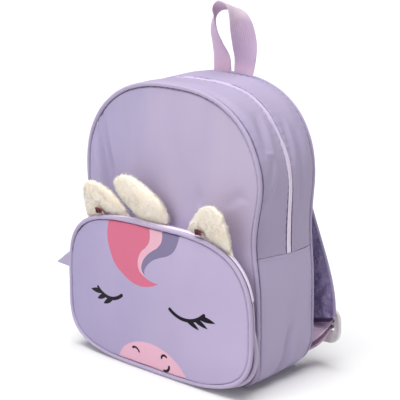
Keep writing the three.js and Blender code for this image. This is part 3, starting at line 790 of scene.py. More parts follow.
# %% Zip finish and form
TOOTH = 1.5
COIL_HALF, COIL_LOW, TOOTH_RISE, GROOVE_DEPTH, GROOVE_HALF = 3.4, 0.55, 0.4, 0.4, 0.4
TOP_SHADE_SPAN = (60, 200)
FRONT_SHADE, BACK_SHADE, SHADE_RUN = (2.8, 3.2), (3.1, 3.5), (95, 160)


def zip_finish(name, deep_at):
    """deep_at is the place along the zip where it lies deepest between its edges, and where a painted
    shade darkens it.
    """
    constants = {"Specular IOR Level": 0.45, "Sheen Weight": 0.05}
    material, start = new_finish(name, constants)
    along, across = cloth_place(start)
    ribs = ridges(along, TOOTH)
    groove = 1 - abs(across).step(0.1, 0.8)
    # Painted shade at the pitch of the teeth and in the groove where the two rows of teeth meet.
    tone = mix_colour(ribs * 0.3, shade(246, 233, 252), shade(236, 221, 245))
    tone = mix_colour(groove * 0.3, tone, shade(210, 194, 224))
    away = abs(along - deep_at)
    # Painted shade where the zip lies deepest between the strips, on top of the arch.
    tone = mix_colour(1 - away.step(*TOP_SHADE_SPAN), tone, shade(202, 189, 220))
    # Painted shade in the crevices between the coil and the folded cloth, down the sides only.
    edges = (0 - across).step(*FRONT_SHADE) + across.step(*BACK_SHADE)
    shaded = edges * away.step(*SHADE_RUN)
    return feed(material, {
        "Base Color": mix_colour(shaded, tone, shade(100, 84, 120)),
        "Roughness": 0.38 + 0.2 * noise(start, 160.0),
        "Normal": raised(start, (across * (math.pi / 0.5)).sine(), 0.03),
    })


MAIN_ZIP = zip_finish("main_zip_nylon", float(BODY_AROUND) / 2)
POCKET_ZIP = zip_finish("pocket_zip_nylon", 0.0)


def coil_height(along, across):
    """Two rows of teeth, half a tooth apart, on a low dome with a groove between them."""
    dome = np.sqrt(np.clip(1 - (across / COIL_HALF) ** 2, 0, 1))
    teeth = np.abs(np.sin(np.pi * along / TOOTH + np.where(across > 0, np.pi / 2, 0)))
    groove = GROOVE_DEPTH * np.exp(-((across / GROOVE_HALF) ** 2))
    return dome * (COIL_LOW + TOOTH_RISE * teeth) - groove


ZIP_SINK, TAPE_SINK, TAPE_SLOPE, TAPE_HALF, ZIP_THICK = 0.6, 2.4, 0.5, 7.2, 0.7


def tape_sink(across):
    """The tape dips beside the coil, to pass under the folded cloth."""
    return lerp(ZIP_SINK, TAPE_SINK, ease((np.abs(across) - COIL_HALF) / TAPE_SLOPE))


def zip_piece(name, points, cloth, finish):
    """The tape and the coil of a zip as one thin sheet."""
    piece = grid_piece(name + "_coil", points, cloth)
    dress(thicken(piece, ZIP_THICK), finish, "zip", name)


COIL_EDGE, COIL_ROWS = 4.1, 23
TOP_DIP, SHOULDER_DIP = 0.33, 0.5
along = np.arange(UPPER[0], UPPER[1], TOOTH / 4)
tape_rows = np.r_[-TAPE_HALF, np.linspace(-COIL_EDGE, COIL_EDGE, COIL_ROWS), TAPE_HALF]
points = gusset_points(along, tape_rows, tape_sink(tape_rows))
dip = TOP_DIP * (1 - down_the_side(along))
dip = dip + SHOULDER_DIP * closing(along) / CLOSING
lift = coil_height(along[:, None], tape_rows[None]) - dip[:, None]
zip_piece("main_zip", crease(lifted(points, lift)), flat_places(along, tape_rows), MAIN_ZIP)

# %% [markdown]
# ## Pocket
# The pocket stands 24 mm off the front panel. Its seam is a rounded box shape, a
# superellipse, and its gusset leans in towards a smaller outline on the panel. Points are
# read by their distance along the seam and their share of the way back to the panel.

# %% Pocket shape
POCKET_HALF_WIDTH, POCKET_TOP, POCKET_BOTTOM = 135.5, 157, 2.7
POCKET_WAIST, POCKET_POWER = 66, 3.43
BASE_HALF_WIDTH, BASE_TOP, BASE_BOTTOM = 116, 155, 14
STAND_OFF, BOW, FOOT_FORWARD, POCKET_CROWN, FACE_CENTRE = 24.5, 4.5, 4, 10, 78
POCKET_SWELL, SIDE_SWELL, FOOT_SWELL, FOOT_POWER = 1.2, 3.4, 8.5, 0.35
ZIP_END, POCKET_ZIP_WIDTH, POCKET_ZIP_RISE = 101, 8, 1.0


def rounded_outline(half_width, top, bottom, count=232):
    angle = np.linspace(-np.pi / 2, np.pi / 2, 6001)
    bend = 2 / POCKET_POWER
    rise = bent(np.sin(angle), bend)
    z = POCKET_WAIST + rise * np.where(rise > 0, top - POCKET_WAIST, POCKET_WAIST - bottom)
    x = half_width * np.abs(np.cos(angle)) ** bend
    x[[0, -1]] = 0
    run = path_length(np.stack([x, z], axis=1))
    even = np.linspace(0, run[-1], count // 2 + 1)
    return mirrored_outline(np.stack([np.interp(even, run, x), np.interp(even, run, z)], axis=1))


POCKET_SEAM = rounded_outline(POCKET_HALF_WIDTH, POCKET_TOP, POCKET_BOTTOM)
POCKET_BASE = rounded_outline(BASE_HALF_WIDTH, BASE_TOP, BASE_BOTTOM)
POCKET_WAY, POCKET_AROUND = way_round(POCKET_SEAM)
rim_angle = np.arctan2(FRONT_RIM[:, 1] - PANEL_CENTRE, FRONT_RIM[:, 0])
rim_reach = np.hypot(FRONT_RIM[:, 0], FRONT_RIM[:, 1] - PANEL_CENTRE)


def front_face(x, z):
    reach = np.interp(np.arctan2(z - PANEL_CENTRE, x), rim_angle, rim_reach, period=2 * np.pi)
    share = np.clip(np.hypot(x, z - PANEL_CENTRE) / reach, 0, 1)
    return -FACE - FRONT_CROWN * crown(share)


def pocket_seam_depth(x, z):
    low = np.clip((POCKET_WAIST - z) / (POCKET_WAIST - POCKET_BOTTOM), 0, None)
    bow = BOW * (1 - (x / POCKET_HALF_WIDTH) ** 2)
    return -HALF - STAND_OFF - bow - FOOT_FORWARD * low**2


def pocket_points(along, shares, sink=0.0):
    """Points of the pocket's gusset: rows run along its seam and columns go back. It swells
    most half way back, and at the lower corners."""
    x0, z0, nx, nz = read_outline(POCKET_SEAM, POCKET_WAY, POCKET_AROUND, along)[..., None]
    x1, z1 = read_outline(POCKET_BASE, POCKET_WAY, POCKET_AROUND, along)[:2, :, None]
    foot = np.clip(-2 * np.abs(nx) * nz, 0, 1) ** FOOT_POWER
    swell = POCKET_SWELL + SIDE_SWELL * np.abs(nx) + FOOT_SWELL * foot
    out = swell * 4 * shares * (1 - shares) - sink
    x, z = lerp(x0, x1, shares) + nx * out, lerp(z0, z1, shares) + nz * out
    y = lerp(pocket_seam_depth(x0, z0), front_face(x, z) - GAP, shares)
    return np.stack([x, y, z], axis=-1)


WALL = 1.6
POCKET_DEPTH = STAND_OFF - FRONT_CROWN + BOW - WALL
SEAM_SHARE = (POCKET_CORD + GAP) / POCKET_DEPTH
ZIP_SHARE = SEAM_SHARE + POCKET_ZIP_WIDTH / POCKET_DEPTH
TUCK_SHARE = TUCK / POCKET_DEPTH
right_side = POCKET_SEAM[: len(POCKET_SEAM) // 2 + 1]
ZIP_END_AT = np.interp(ZIP_END, right_side[:, 1], POCKET_WAY[: len(right_side)])
POCKET_UPPER = (ZIP_END_AT + GAP / 2, POCKET_AROUND - ZIP_END_AT - GAP / 2)
POCKET_LOWER = (-ZIP_END_AT + GAP / 2, ZIP_END_AT - GAP / 2)
print("pocket seam:", round(POCKET_AROUND), "mm round, zip from", round(ZIP_END_AT), "mm")


POCKET_STEP, POCKET_ROWS, POCKET_WAVE = 3, 24, 0.05
PIPED_EDGE, FOLDED_EDGE = (TUCK + 2.8, 4.4), (0.9, 0.3)
ZIP_LAP = 0.01


def pocket_strip(name, run, share_from, edge):
    """A strip of the pocket's gusset, from a share of its depth back to the panel. edge says
    how far from its front the cloth turns in, and how deep."""
    along = np.linspace(*run, int((run[1] - run[0]) / POCKET_STEP))
    shares = close_rows(share_from, 1, POCKET_ROWS)
    from_front = (shares - share_from) * POCKET_DEPTH
    points = pocket_points(along, shares, -roll(from_front, *edge))
    lift = pucker(along[:, None], from_front[None], SMALL_GATHER)
    points = lifted(points, lift)
    cloth = flat_places(along, shares * POCKET_DEPTH)
    strip = grid_piece(name + "_cloth", crease(points, POCKET_WAVE), cloth)
    dress(thicken(strip, CLOTH_THICK), POCKET_CLOTH, "body_cloth", name)


pocket_strip("pocket_gusset_top", POCKET_UPPER, ZIP_SHARE - ZIP_LAP, FOLDED_EDGE)
pocket_strip("pocket_gusset_bottom", POCKET_LOWER, TUCK_SHARE, PIPED_EDGE)

along = np.arange(*POCKET_UPPER, TOOTH / 4)
shares = (SEAM_SHARE + ZIP_SHARE) / 2 + tape_rows / POCKET_DEPTH
points = pocket_points(along, shares, tape_sink(tape_rows) - POCKET_ZIP_RISE)
points = lifted(points, coil_height(along[:, None], tape_rows[None]))
zip_piece("pocket_zip", settle(points), flat_places(along, tape_rows), POCKET_ZIP)

pocket_piping = piping("pocket_piping_cloth", POCKET_SEAM, pocket_seam_depth, POCKET_CORD)
dress(pocket_piping, PIPING_CLOTH, "piping", "pocket_piping")

# %% [markdown]
# ## The printed face
# The pocket's cloth is printed with a sleeping face: two closed eyes with three lashes each,
# a pink muzzle, and a forelock in three colours. A print has no height, so it belongs in the
# finish. Each edge of the forelock is a drawn curve, which a Float Curve node reads: the
# height goes in and the place sideways comes out, or the other way about for its lower edge.
# Eyes and smile are arcs, and lashes are tapered strokes: distances from a circle or a line,
# which stay sharp at any size.

# %% Print tools
SOFT = 0.25
LASH_LAP = 3


def apart(a, b):
    """The distance that two sides of a right angle make."""
    return (a * a + b * b) ** 0.5


def inked(value, soft=SOFT):
    """1 where a value in millimetres is above 0, with a narrow soft edge."""
    return value.step(-soft, soft)


def drawn_edge(along, places):
    """Reads a drawn edge: places are (along, across) pairs in order."""
    a, b = np.array(places, float).T
    scaled = (along - a[0]) / (a[-1] - a[0])
    points = np.stack([(a - a[0]) / (a[-1] - a[0]), (b - b.min()) / np.ptp(b)], axis=1).tolist()
    read = scaled.node("FloatCurve", {}, {"Value": scaled})
    mapping = read.socket.node.mapping
    curve = mapping.curves[0].points
    curve[0].location, curve[1].location = points[0], points[-1]
    for place in points[1:-1]:
        curve.new(*place)
    mapping.update()
    return read * float(np.ptp(b)) + float(b.min())


def arc_stroke(x, z, centre, radius, middle, reach, half_width, up=-1):
    """A stroke on a circle with round ends; middle and reach are angles in degrees from
    straight down, or from straight up where up is 1."""
    dx, dz = x - centre[0], z - centre[1]
    angle = dx.math("ARCTAN2", dx, dz * up)
    past = abs(angle - math.radians(middle)) - math.radians(reach)
    beyond = past.math("MAXIMUM", past * radius, 0.0)
    return inked(half_width - apart(apart(dx, dz) - radius, beyond))


def tapered_stroke(x, z, root, tip, half_width):
    """A leaf-shaped stroke that ends in a point."""
    run = np.subtract(tip, root).astype(float)
    length = float(np.hypot(*run))
    way = run / length
    dx, dz = x - root[0], z - root[1]
    along = (dx * float(way[0]) + dz * float(way[1])) / length
    aside = abs(dx * float(way[1]) - dz * float(way[0]))
    width = half_width * (1 - along) * (0.7 + 1.5 * along)
    ends = (along * length + LASH_LAP).step(0, 0.5) * (1 - along).step(0, 0.05)
    return inked(width - aside) * ends


def either(first, second):
    return first.math("MAXIMUM", first, second)


# %% The printed cloth
FORELOCK_FOOT = [  # x, z
    (-66.8, 143), (-63.4, 131.2), (-58.2, 121.6), (-50.3, 110.2), (-39.6, 102.7),
    (-22.7, 95.4), (-10.1, 93.2), (5.2, 94.8), (20, 100.4),
]
FORELOCK_TIP = [(-6.3, 107.3), (0.1, 104.3), (8, 101.7), (20, 100.4)]
CORAL_EDGE = [  # z, x
    (107.3, -6.3), (110.8, -9.8), (116.7, -12), (122, -11.8), (128.8, -9.1),
    (135.1, -2.7), (143, 1), (147, 0.7), (156, -4),
]
PINK_EDGE = [
    (107.9, -3.3), (112.6, -6.1), (119.1, -5.3), (126.1, -0.9), (132.7, 6.9),
    (138.2, 14.7), (146.1, 18.8), (156, 15),
]
MAUVE_EDGE = [
    (107.3, -0.9), (110.4, -1.3), (114.9, 0.5), (122, 7.3), (126.9, 17),
    (131.9, 30.6), (137.3, 38.1), (146, 41.8), (156, 42.3),
]
EYES = [  # centre, radius, middle and reach of the arc, lash roots and tips
    ((-58, 103.4), 34, 0, 38,
     [((-74, 73), (-92.4, 71.6)), ((-66, 70.5), (-80.5, 63.6)), ((-55, 68.5), (-68.6, 60.8))]),
    ((58, 104.5), 34, 3, 41,
     [((60, 72), (76, 63.7)), ((70.5, 74.5), (86.4, 67)), ((77.4, 77), (95.4, 74.5))]),
]
MUZZLE = {"centre": (4, -5), "half": (54, 38)}
NOSTRILS = [((-19, 17.5), 5.8, 17, 54), ((25.5, 20.3), 4.3, -20, 62)]
SMILE = ((24, 14.5), 7.5, 38, 44)
FORELOCK_LEFT = -66.6
HALF_WIDTHS = {"smile": 1.5, "nostril": 1.3, "eye": 1.95, "lash": 3.5}
PRINT_PITCH = 0.55
INK = shade(12, 2, 20)


def printed_finish():
    constants = {"Sheen Weight": 0.03, "Sheen Roughness": 0.45, "Specular IOR Level": 0.16}
    material, start = new_finish("printed_cloth", constants)
    x, z = cloth_place(start)
    # The same painted light and shade as on the front: darker at the left, lighter at the right.
    drift = 0.32 + 0.36 * noise(start, 20.0, 3.0, (1, 1, 0.4)) + x * FRONT_LIGHT_LEAN
    colour = mix_colour(drift.step(0.1, 0.9), shade(161, 152, 187), shade(181, 168, 198))

    aside, above = (
        (place - middle) / half for place, middle, half in zip((x, z), MUZZLE["centre"], MUZZLE["half"])
    )
    muzzle = 1 - apart(aside, above).step(0.97, 1.02)
    colour = mix_colour(muzzle, colour, shade(222, 175, 194))

    forelock = inked(z - drawn_edge(x, FORELOCK_FOOT)) * inked(x - FORELOCK_LEFT)
    inner = inked(x - drawn_edge(z, CORAL_EDGE)) * inked(z - drawn_edge(x, FORELOCK_TIP))
    from_pink = x - drawn_edge(z, PINK_EDGE)
    from_mauve = drawn_edge(z, MAUVE_EDGE) - x
    colour = mix_colour(forelock * (1 - inner), colour, shade(203, 108, 134))
    colour = mix_colour(forelock * inner * inked(0 - from_pink), colour, shade(217, 169, 186))
    colour = mix_colour(inner * inked(from_pink) * inked(from_mauve), colour, shade(125, 116, 148))

    ink = arc_stroke(x, z, *SMILE, HALF_WIDTHS["smile"])
    for nostril in NOSTRILS:
        ink = either(ink, arc_stroke(x, z, *nostril, HALF_WIDTHS["nostril"], 1))
    for centre, radius, middle, reach, lashes in EYES:
        ink = either(ink, arc_stroke(x, z, centre, radius, middle, reach, HALF_WIDTHS["eye"]))
        below = inked(apart(x - centre[0], z - centre[1]) - radius)
        for root, tip in lashes:
            ink = either(ink, tapered_stroke(x, z, root, tip, HALF_WIDTHS["lash"]) * below)
    colour = mix_colour(ink, colour, INK)

    threads = weave(x, z, PRINT_PITCH)
    return feed(material, {
        "Base Color": colour,
        "Roughness": 0.62 + 0.12 * noise(start, 90.0) - 0.12 * ink,
        "Normal": raised(start, threads, 0.05, 0.5),
    })


POCKET_RIM = inset(POCKET_SEAM, TUCK)
POCKET_SHOULDER = (0.46, 0.74)
pocket_panel, cloth = panel(
    "pocket_panel_cloth", POCKET_RIM, FACE_CENTRE,
    lambda x, z, f: pocket_seam_depth(x, z) - PANEL_LIFT - POCKET_CROWN * crown(f), POCKET_SHOULDER,
)
dress(thicken(pocket_panel, CLOTH_THICK), printed_finish(), "printed_cloth", "pocket_panel")

# %% [markdown]
# ## Smooth bands
# Loops and straps are flat bands that bend and twist. A table gives a few places along the
# band, which way its width points there, and how wide it is. A Catmull-Rom curve runs
# smoothly through them all, and sections placed along it make the band.


# %% Bands
def catmull(points, t):
    """Points on the smooth curve through a list of points, as t runs from 0 to 1."""
    points = np.asarray(points, float)
    spans = len(points) - 1
    at = np.clip(t, 0, 1) * spans
    k = np.minimum(at.astype(int), spans - 1)
    w = (at - k)[:, None]
    ends = np.vstack([2 * points[0] - points[1], points, 2 * points[-1] - points[-2]])
    p0, p1, p2, p3 = (ends[k + i] for i in range(4))
    d0, d1, d2 = (
        np.maximum(np.linalg.norm(b - a, axis=1)[:, None] ** 0.5, 1e-4)
        for a, b in ((p0, p1), (p1, p2), (p2, p3))
    )
    t1 = ((p1 - p0) / d0 - (p2 - p0) / (d0 + d1) + (p2 - p1) / d1) * d1
    t2 = ((p2 - p1) / d1 - (p3 - p1) / (d1 + d2) + (p3 - p2) / d2) * d1
    bend = -3 * p1 + 3 * p2 - 2 * t1 - t2
    return p1 + t1 * w + bend * w**2 + (2 * p1 - 2 * p2 + t1 + t2) * w**3


def band_frame(rows, step):
    """Centre, length, across, over and share of the way of a band at even steps. rows are
    (place, across) pairs."""
    places, turns = (np.array(column, float) for column in zip(*rows))
    fine = np.linspace(0, 1, 2001)
    run = path_length(catmull(places, fine))
    length = np.linspace(0, run[-1], int(run[-1] / step) + 1)
    t = np.interp(length, run, fine)
    centre = catmull(places, t)
    way = unit(catmull(places, np.minimum(t + 1e-3, 1)) - catmull(places, np.maximum(t - 1e-3, 0)))
    across = catmull(turns, t)
    across = unit(across - way * np.sum(across * way, axis=1, keepdims=True))
    return centre, length, across, np.cross(way, across), t


def band_points(centre, across, over, section):
    """Sections along a band: section has (across, over) pairs, for every step or for all."""
    u, v = np.moveaxis(np.broadcast_to(section, (len(centre), *section.shape[-2:])), -1, 0)
    return centre[:, None] + across[:, None] * u[..., None] + over[:, None] * v[..., None]


def ring_cloth(length, points):
    """Flat places for a ring-shaped section: along the band and round its section."""
    ring = np.concatenate([points, points[:, :1]], axis=1)
    round_it = np.cumsum(np.linalg.norm(np.diff(ring, axis=1), axis=2), axis=1)
    round_it = np.concatenate([np.zeros((len(points), 1)), round_it], axis=1)
    return np.stack(np.broadcast_arrays(length[:, None], round_it), axis=-1)


# %% [markdown]
# ## Webbing
# The grab loop and the strap ends are woven pink-lilac webbing: thick ribs run along it, and
# each rib is a column of small slanted stitches. The ribs are modelled in the section, the
# stitches are bump.

# %% Webbing
RIB = 2.0
RIB_RISE = 0.1
WEBBING_THICK, WEBBING_STEP = 1.5, 1.6
WEFT_PITCH = 0.9


def webbing_finish(name, cool, warm, deep, painted_light_stretches=()):
    """The stretches are parts of the band where light and shade are painted into the tone: where
    the tone begins and is full, where it starts to fade and has gone, and the tone."""
    constants = {"Sheen Weight": 0.2, "Sheen Roughness": 0.5, "Specular IOR Level": 0.25}
    material, start = new_finish(name, constants)
    along, across = cloth_place(start)
    column = (across * (2 * math.pi / RIB)).sine()
    threads = ridges(along + 0.5 * column, WEFT_PITCH)
    drift = noise(start, 60.0, 3.0)
    tone = mix_colour(drift.step(0.3, 0.7), cool, warm)
    # Painted light and shade, stretch by stretch along the band.
    for begins, full, fades, gone, painted_tone in painted_light_stretches:
        tone = mix_colour(along.step(begins, full) * (1 - along.step(fades, gone)), tone, painted_tone)
    # Painted shade between the weft threads and between the ribs, towards the deep tone.
    gaps = (1 - threads) * 0.3 + (0.5 - 0.5 * column) * 0.2
    return feed(material, {
        "Base Color": mix_colour(gaps, tone, deep),
        "Roughness": 0.7 + 0.1 * drift,
        "Normal": raised(start, threads * (0.6 + 0.4 * column), 0.14, 0.8),
    })


STRAP_WEAVE = webbing_finish(
    "strap_weave", shade(212, 188, 214), shade(224, 197, 218), shade(178, 148, 180)
)
# The tie is woven in a dark tone: a painted shadow for the dark gap below the strap's end.
TIE_PAINTED_SHADOW_WEAVE = webbing_finish("tie_painted_shadow_weave", shade(112, 88, 122), shade(124, 98, 130), shade(78, 58, 88))


def webbing_section(width, thick=WEBBING_THICK, fine=3):
    """A flat ribbed section with round edges."""
    flat = width / 2 - thick / 2
    u = np.linspace(-flat, flat, int(width / RIB) * 2 * fine + 1)
    ribs = thick / 2 - RIB_RISE + RIB_RISE * np.cos(2 * np.pi * (u + width / 2) / RIB)
    turn = np.linspace(np.pi / 2, -np.pi / 2, 6)[1:-1]
    edge = np.stack([flat + np.cos(turn) * thick / 2, np.sin(turn) * thick / 2], axis=1)
    top = np.stack([u, ribs], axis=1)
    return np.vstack([top, edge, -top, -edge])


def webbing(name, rows, width, node, finish, side=1):
    """A band of webbing; side -1 gives the mirror image for the left of the bag."""
    centre, length, across, over, _ = band_frame(rows, WEBBING_STEP)
    points = settle(band_points(centre, across, over, webbing_section(width))) * (side, 1, 1)
    piece = grid_piece(name, points, ring_cloth(length, points), ring=True, caps=True)
    dress(piece, finish, "webbing", node)
    print(name, "is", round(float(length[-1])), "mm long")


# The loop rises from its right foot, turns over at the top and comes down to its left foot
LOOP_ROWS = [  # place, across
    ((15.6, 45.2, 301.5), (1, 0, 0.1)),
    ((18.5, 45.3, 322), (0.96, 0.25, 0)),
    ((18.4, 44, 338), (0.74, 0.66, 0)),
    ((16, 42, 354), (0.44, 0.9, -0.02)),
    ((12, 40, 367), (0.05, 0.99, -0.06)),
    ((4.5, 39, 375.4), (-0.32, 0.92, -0.2)),
    ((-4, 38.6, 375.2), (-0.42, 0.72, -0.53)),
    ((-12, 38, 370.5), (-0.6, 0.56, -0.5)),
    ((-17.8, 37, 361), (-0.76, 0.6, -0.2)),
    ((-20, 38, 348), (-0.86, 0.5, -0.05)),
    ((-17.2, 40.5, 334), (-0.94, 0.33, 0)),
    ((-14, 43.5, 320), (-1, 0.06, 0)),
    ((-14.3, 45.2, 301.5), (-1, 0, 0)),
]
LOOP_WIDTH = 26
# Painted light and shade along the loop: lighter, pinker feet, a darker right leg, a painted highlight
# on the right shoulder and painted shade where it turns over the top.
LOOP_PAINTED_LIGHT = [  # begins, full, fades, gone, tone
    (-2, -1, 6, 24, shade(236, 204, 226)),
    (6, 28, 32, 64, shade(207, 183, 211)),
    (54, 70, 84, 90, shade(226, 207, 219)),
    (88, 96, 108, 116, shade(186, 156, 182)),
    (126, 158, 180, 181, shade(238, 206, 226)),
]
LOOP_WEAVE = webbing_finish(
    "loop_weave", shade(203, 179, 210), shade(221, 196, 217), shade(178, 148, 187), LOOP_PAINTED_LIGHT
)
webbing("grab_loop_webbing", LOOP_ROWS, LOOP_WIDTH, "grab_loop", LOOP_WEAVE)

# %% [markdown]
# ## Strap ends
# Each shoulder strap ends in a ladder lock, a moulded plate with two slots. A short tie of
# webbing holds the lock to the strap; its dark tone is a painted shadow below the strap's
# end. A longer webbing comes up from the bag's lower corner, goes through the lock and falls
# back. The left side is the right one's mirror image.

# %% Strap webbing
LEVEL = (1, 0, 0)
TIE_ROWS = [  # place, across
    ((109.5, 73.6, 70), (1, 0, 0.15)),
    ((111.5, 72.3, 61), (1, 0, 0.1)),
    ((112, 72.1, 57), LEVEL),
    ((112, 73.6, 54.2), LEVEL),
    ((112, 77.4, 54), LEVEL),
    ((112, 78.8, 55.6), LEVEL),
    ((112, 78.8, 59), LEVEL),
]
WEBBING_ROWS = [
    ((102.2, 47.2, 18.6), (1, 0, 0.25)),
    ((104, 53, 21.6), (1, 0, 0.2)),
    ((107.4, 60, 26.8), (1, 0, 0.1)),
    ((111, 68, 36), LEVEL),
    ((112, 72.5, 40.6), LEVEL),
    ((112, 76.5, 41.3), LEVEL),
    ((112, 79.4, 46), LEVEL),
    ((112, 77, 50.4), LEVEL),
    ((112, 74, 50), LEVEL),
    ((112, 71, 47), LEVEL),
    ((110.5, 64, 41.4), (1, 0, -0.1)),
    ((106.8, 57, 36), (1, 0, -0.25)),
    ((102, 51.2, 31.6), (1, 0, -0.35)),
]
STRAP_END_WIDTH = 20
SIDES = {"right": 1, "left": -1}
STRAP_ENDS = [
    ("strap_tie", TIE_ROWS, TIE_PAINTED_SHADOW_WEAVE),
    ("strap_webbing", WEBBING_ROWS, STRAP_WEAVE),
]
for place, side in SIDES.items():
    for part, rows, finish in STRAP_ENDS:
        node = f"{part}_{place}"
        webbing(node + "_band", rows, STRAP_END_WIDTH, node, finish, side)

# %% [markdown]
# ## Ladder locks
# The locks are milky plastic, thick enough for light to soak in. A flat curve with two holes
# makes such a plate at once: Blender fills it, gives it depth, and rounds its edges.

# %% Ladder locks
LOCK = {"x": 113, "front": 73.4, "thick": 4, "half_width": 18, "top": 62, "bottom": 23.5}
LOCK_ROUNDS = {"foot": 15, "head": 12, "slot": 1.2}
LOCK_SLOT_HALF = 11
LOCK_SLOTS = [(47, 56), (37.5, 44.6)]
LOCK_BEVEL, SHARP_ANGLE = 0.9, 40


def plastic_finish():
    constants = {"Subsurface Weight": 0.25, "Subsurface Radius": (0.003, 0.0025, 0.003), "IOR": 1.46}
    material, start = new_finish("milky_plastic", constants)
    cloud = noise(start, 130.0, 3.0)
    return feed(material, {
        "Base Color": mix_colour(cloud.step(0.3, 0.7), shade(232, 228, 228), shade(217, 212, 214)),
        "Roughness": 0.3 + 0.16 * noise(start, 300.0),
        "Normal": raised(start, noise(start, 900.0), 0.02),
    })


MILKY_PLASTIC = plastic_finish()


def rounded_box(left, right, low, high, low_round, high_round, steps=10):
    """Corners of a rounded rectangle, going round it once."""
    turn = np.linspace(0, np.pi / 2, steps)
    corners = []
    for x, z, r, first in (
        (right - low_round, low + low_round, low_round, -np.pi / 2),
        (right - high_round, high - high_round, high_round, 0),
        (left + high_round, high - high_round, high_round, np.pi / 2),
        (left + low_round, low + low_round, low_round, np.pi),
    ):
        corners += [(x + r * np.cos(first + t), z + r * np.sin(first + t)) for t in turn]
    return corners


def applied(piece):
    """The piece with its modifiers or its curve turned into a plain mesh."""
    seen = piece.evaluated_get(bpy.context.evaluated_depsgraph_get())
    return bpy.data.meshes.new_from_object(seen)


def coordinates(mesh):
    flat = np.empty(len(mesh.vertices) * 3)
    mesh.vertices.foreach_get("co", flat)
    return flat.reshape(-1, 3)


def ladder_lock(name, side):
    """A plate with two slots, drawn flat as a curve and then stood upright."""
    curve = bpy.data.curves.new(name, "CURVE")
    curve.dimensions, curve.fill_mode = "2D", "BOTH"
    curve.extrude = (LOCK["thick"] / 2 - LOCK_BEVEL) * MM
    curve.bevel_depth, curve.bevel_resolution = LOCK_BEVEL * MM, 3
    curve.offset = -LOCK_BEVEL * MM
    half = LOCK["half_width"]
    head, foot, slot = LOCK_ROUNDS["head"], LOCK_ROUNDS["foot"], LOCK_ROUNDS["slot"]
    outlines = [rounded_box(-half, half, LOCK["bottom"], LOCK["top"], foot, head)]
    for low, high in LOCK_SLOTS:
        outlines.append(rounded_box(-LOCK_SLOT_HALF, LOCK_SLOT_HALF, low, high, slot, slot))
    for outline in outlines:
        spline = curve.splines.new("POLY")
        spline.points.add(len(outline) - 1)
        for point, (x, z) in zip(spline.points, outline):
            point.co = (x * MM, z * MM, 0, 1)
        spline.use_cyclic_u = True
    drawing = bpy.data.objects.new(name, curve)
    scene.collection.objects.link(drawing)
    mesh = applied(drawing)
    bpy.data.objects.remove(drawing)
    flat = coordinates(mesh)
    middle = (LOCK["front"] + LOCK["thick"] / 2) * MM
    turned = np.stack([side * LOCK["x"] * MM + flat[:, 0], middle - flat[:, 2], flat[:, 1]], axis=1)
    mesh.vertices.foreach_set("co", turned.reshape(-1))
    mesh.shade_smooth()
    mesh.set_sharp_from_angle(angle=math.radians(SHARP_ANGLE))
    lock = bpy.data.objects.new(name, mesh)
    scene.collection.objects.link(lock)
    return lock


for place, side in SIDES.items():
    lock = ladder_lock(f"strap_lock_{place}_plastic", side)
    dress(lock, MILKY_PLASTIC, "strap_plastic", f"strap_lock_{place}")

# %% [markdown]
# ## Stuffed pieces
# Stuffing presses a skin outward until the skin's own stretch holds it. Blender's Cloth does
# this with pressure inside a closed mesh. Each skin starts a little too thin and is blown up
# for twenty steps, and no point may move further than a cap, so that seams stay in place.

# %% Stuffing
PRESSURE, STUFFING_STEPS = 4.0, 20


def stuff(piece, cap, pinned=()):
    """Blows a closed skin up by simulation; cap is in millimetres, pinned points stay."""
    group = piece.vertex_groups.new(name="seam")
    group.add([int(i) for i in pinned], 1.0, "REPLACE")
    cloth = piece.modifiers.new("stuffing", "CLOTH")
    cloth.settings.use_pressure = True
    cloth.settings.uniform_pressure_force = PRESSURE
    cloth.settings.effector_weights.gravity = 0
    cloth.settings.vertex_group_mass = group.name
    before = coordinates(piece.data)
    for step in range(1, STUFFING_STEPS + 1):
        scene.frame_set(step)
    seen = piece.evaluated_get(bpy.context.evaluated_depsgraph_get())
    move = coordinates(seen.data) - before
    piece.modifiers.remove(cloth)
    scene.frame_set(1)
    size = np.linalg.norm(move, axis=1, keepdims=True)
    move = move * np.minimum(1, cap * MM / np.maximum(size, 1e-9))
    piece.data.vertices.foreach_set("co", (before + move).reshape(-1))
    piece.data.update()
    print(piece.name, "stuffed: moved by up to", round(float(size.max()) / MM, 1), "mm, capped at", cap)


def keep(piece, modifier):
    """Puts what a modifier makes into the mesh itself."""
    mesh = applied(piece)
    piece.modifiers.remove(modifier)
    piece.data = mesh


def smoothed(piece):
    """One round of subdivision, kept in the mesh."""
    finer = piece.modifiers.new("finer", "SUBSURF")
    finer.levels = finer.render_levels = 1
    keep(piece, finer)


# %% [markdown]
# ## Shoulder straps
# A strap is a long foam pad: brushed purple mesh on the side that lies on the shoulder,
# lavender cloth on the other, and a bound edge round both. The pad's edges are pinned at the
# binding while the stuffing blows the faces up between them. Its upper end is sewn down flat.

# %% Strap finishes
MESH_PITCH = 1.6
TIP_SHADOW_FROM, TIP_SHADOW_FULL = 6.6, 4.2


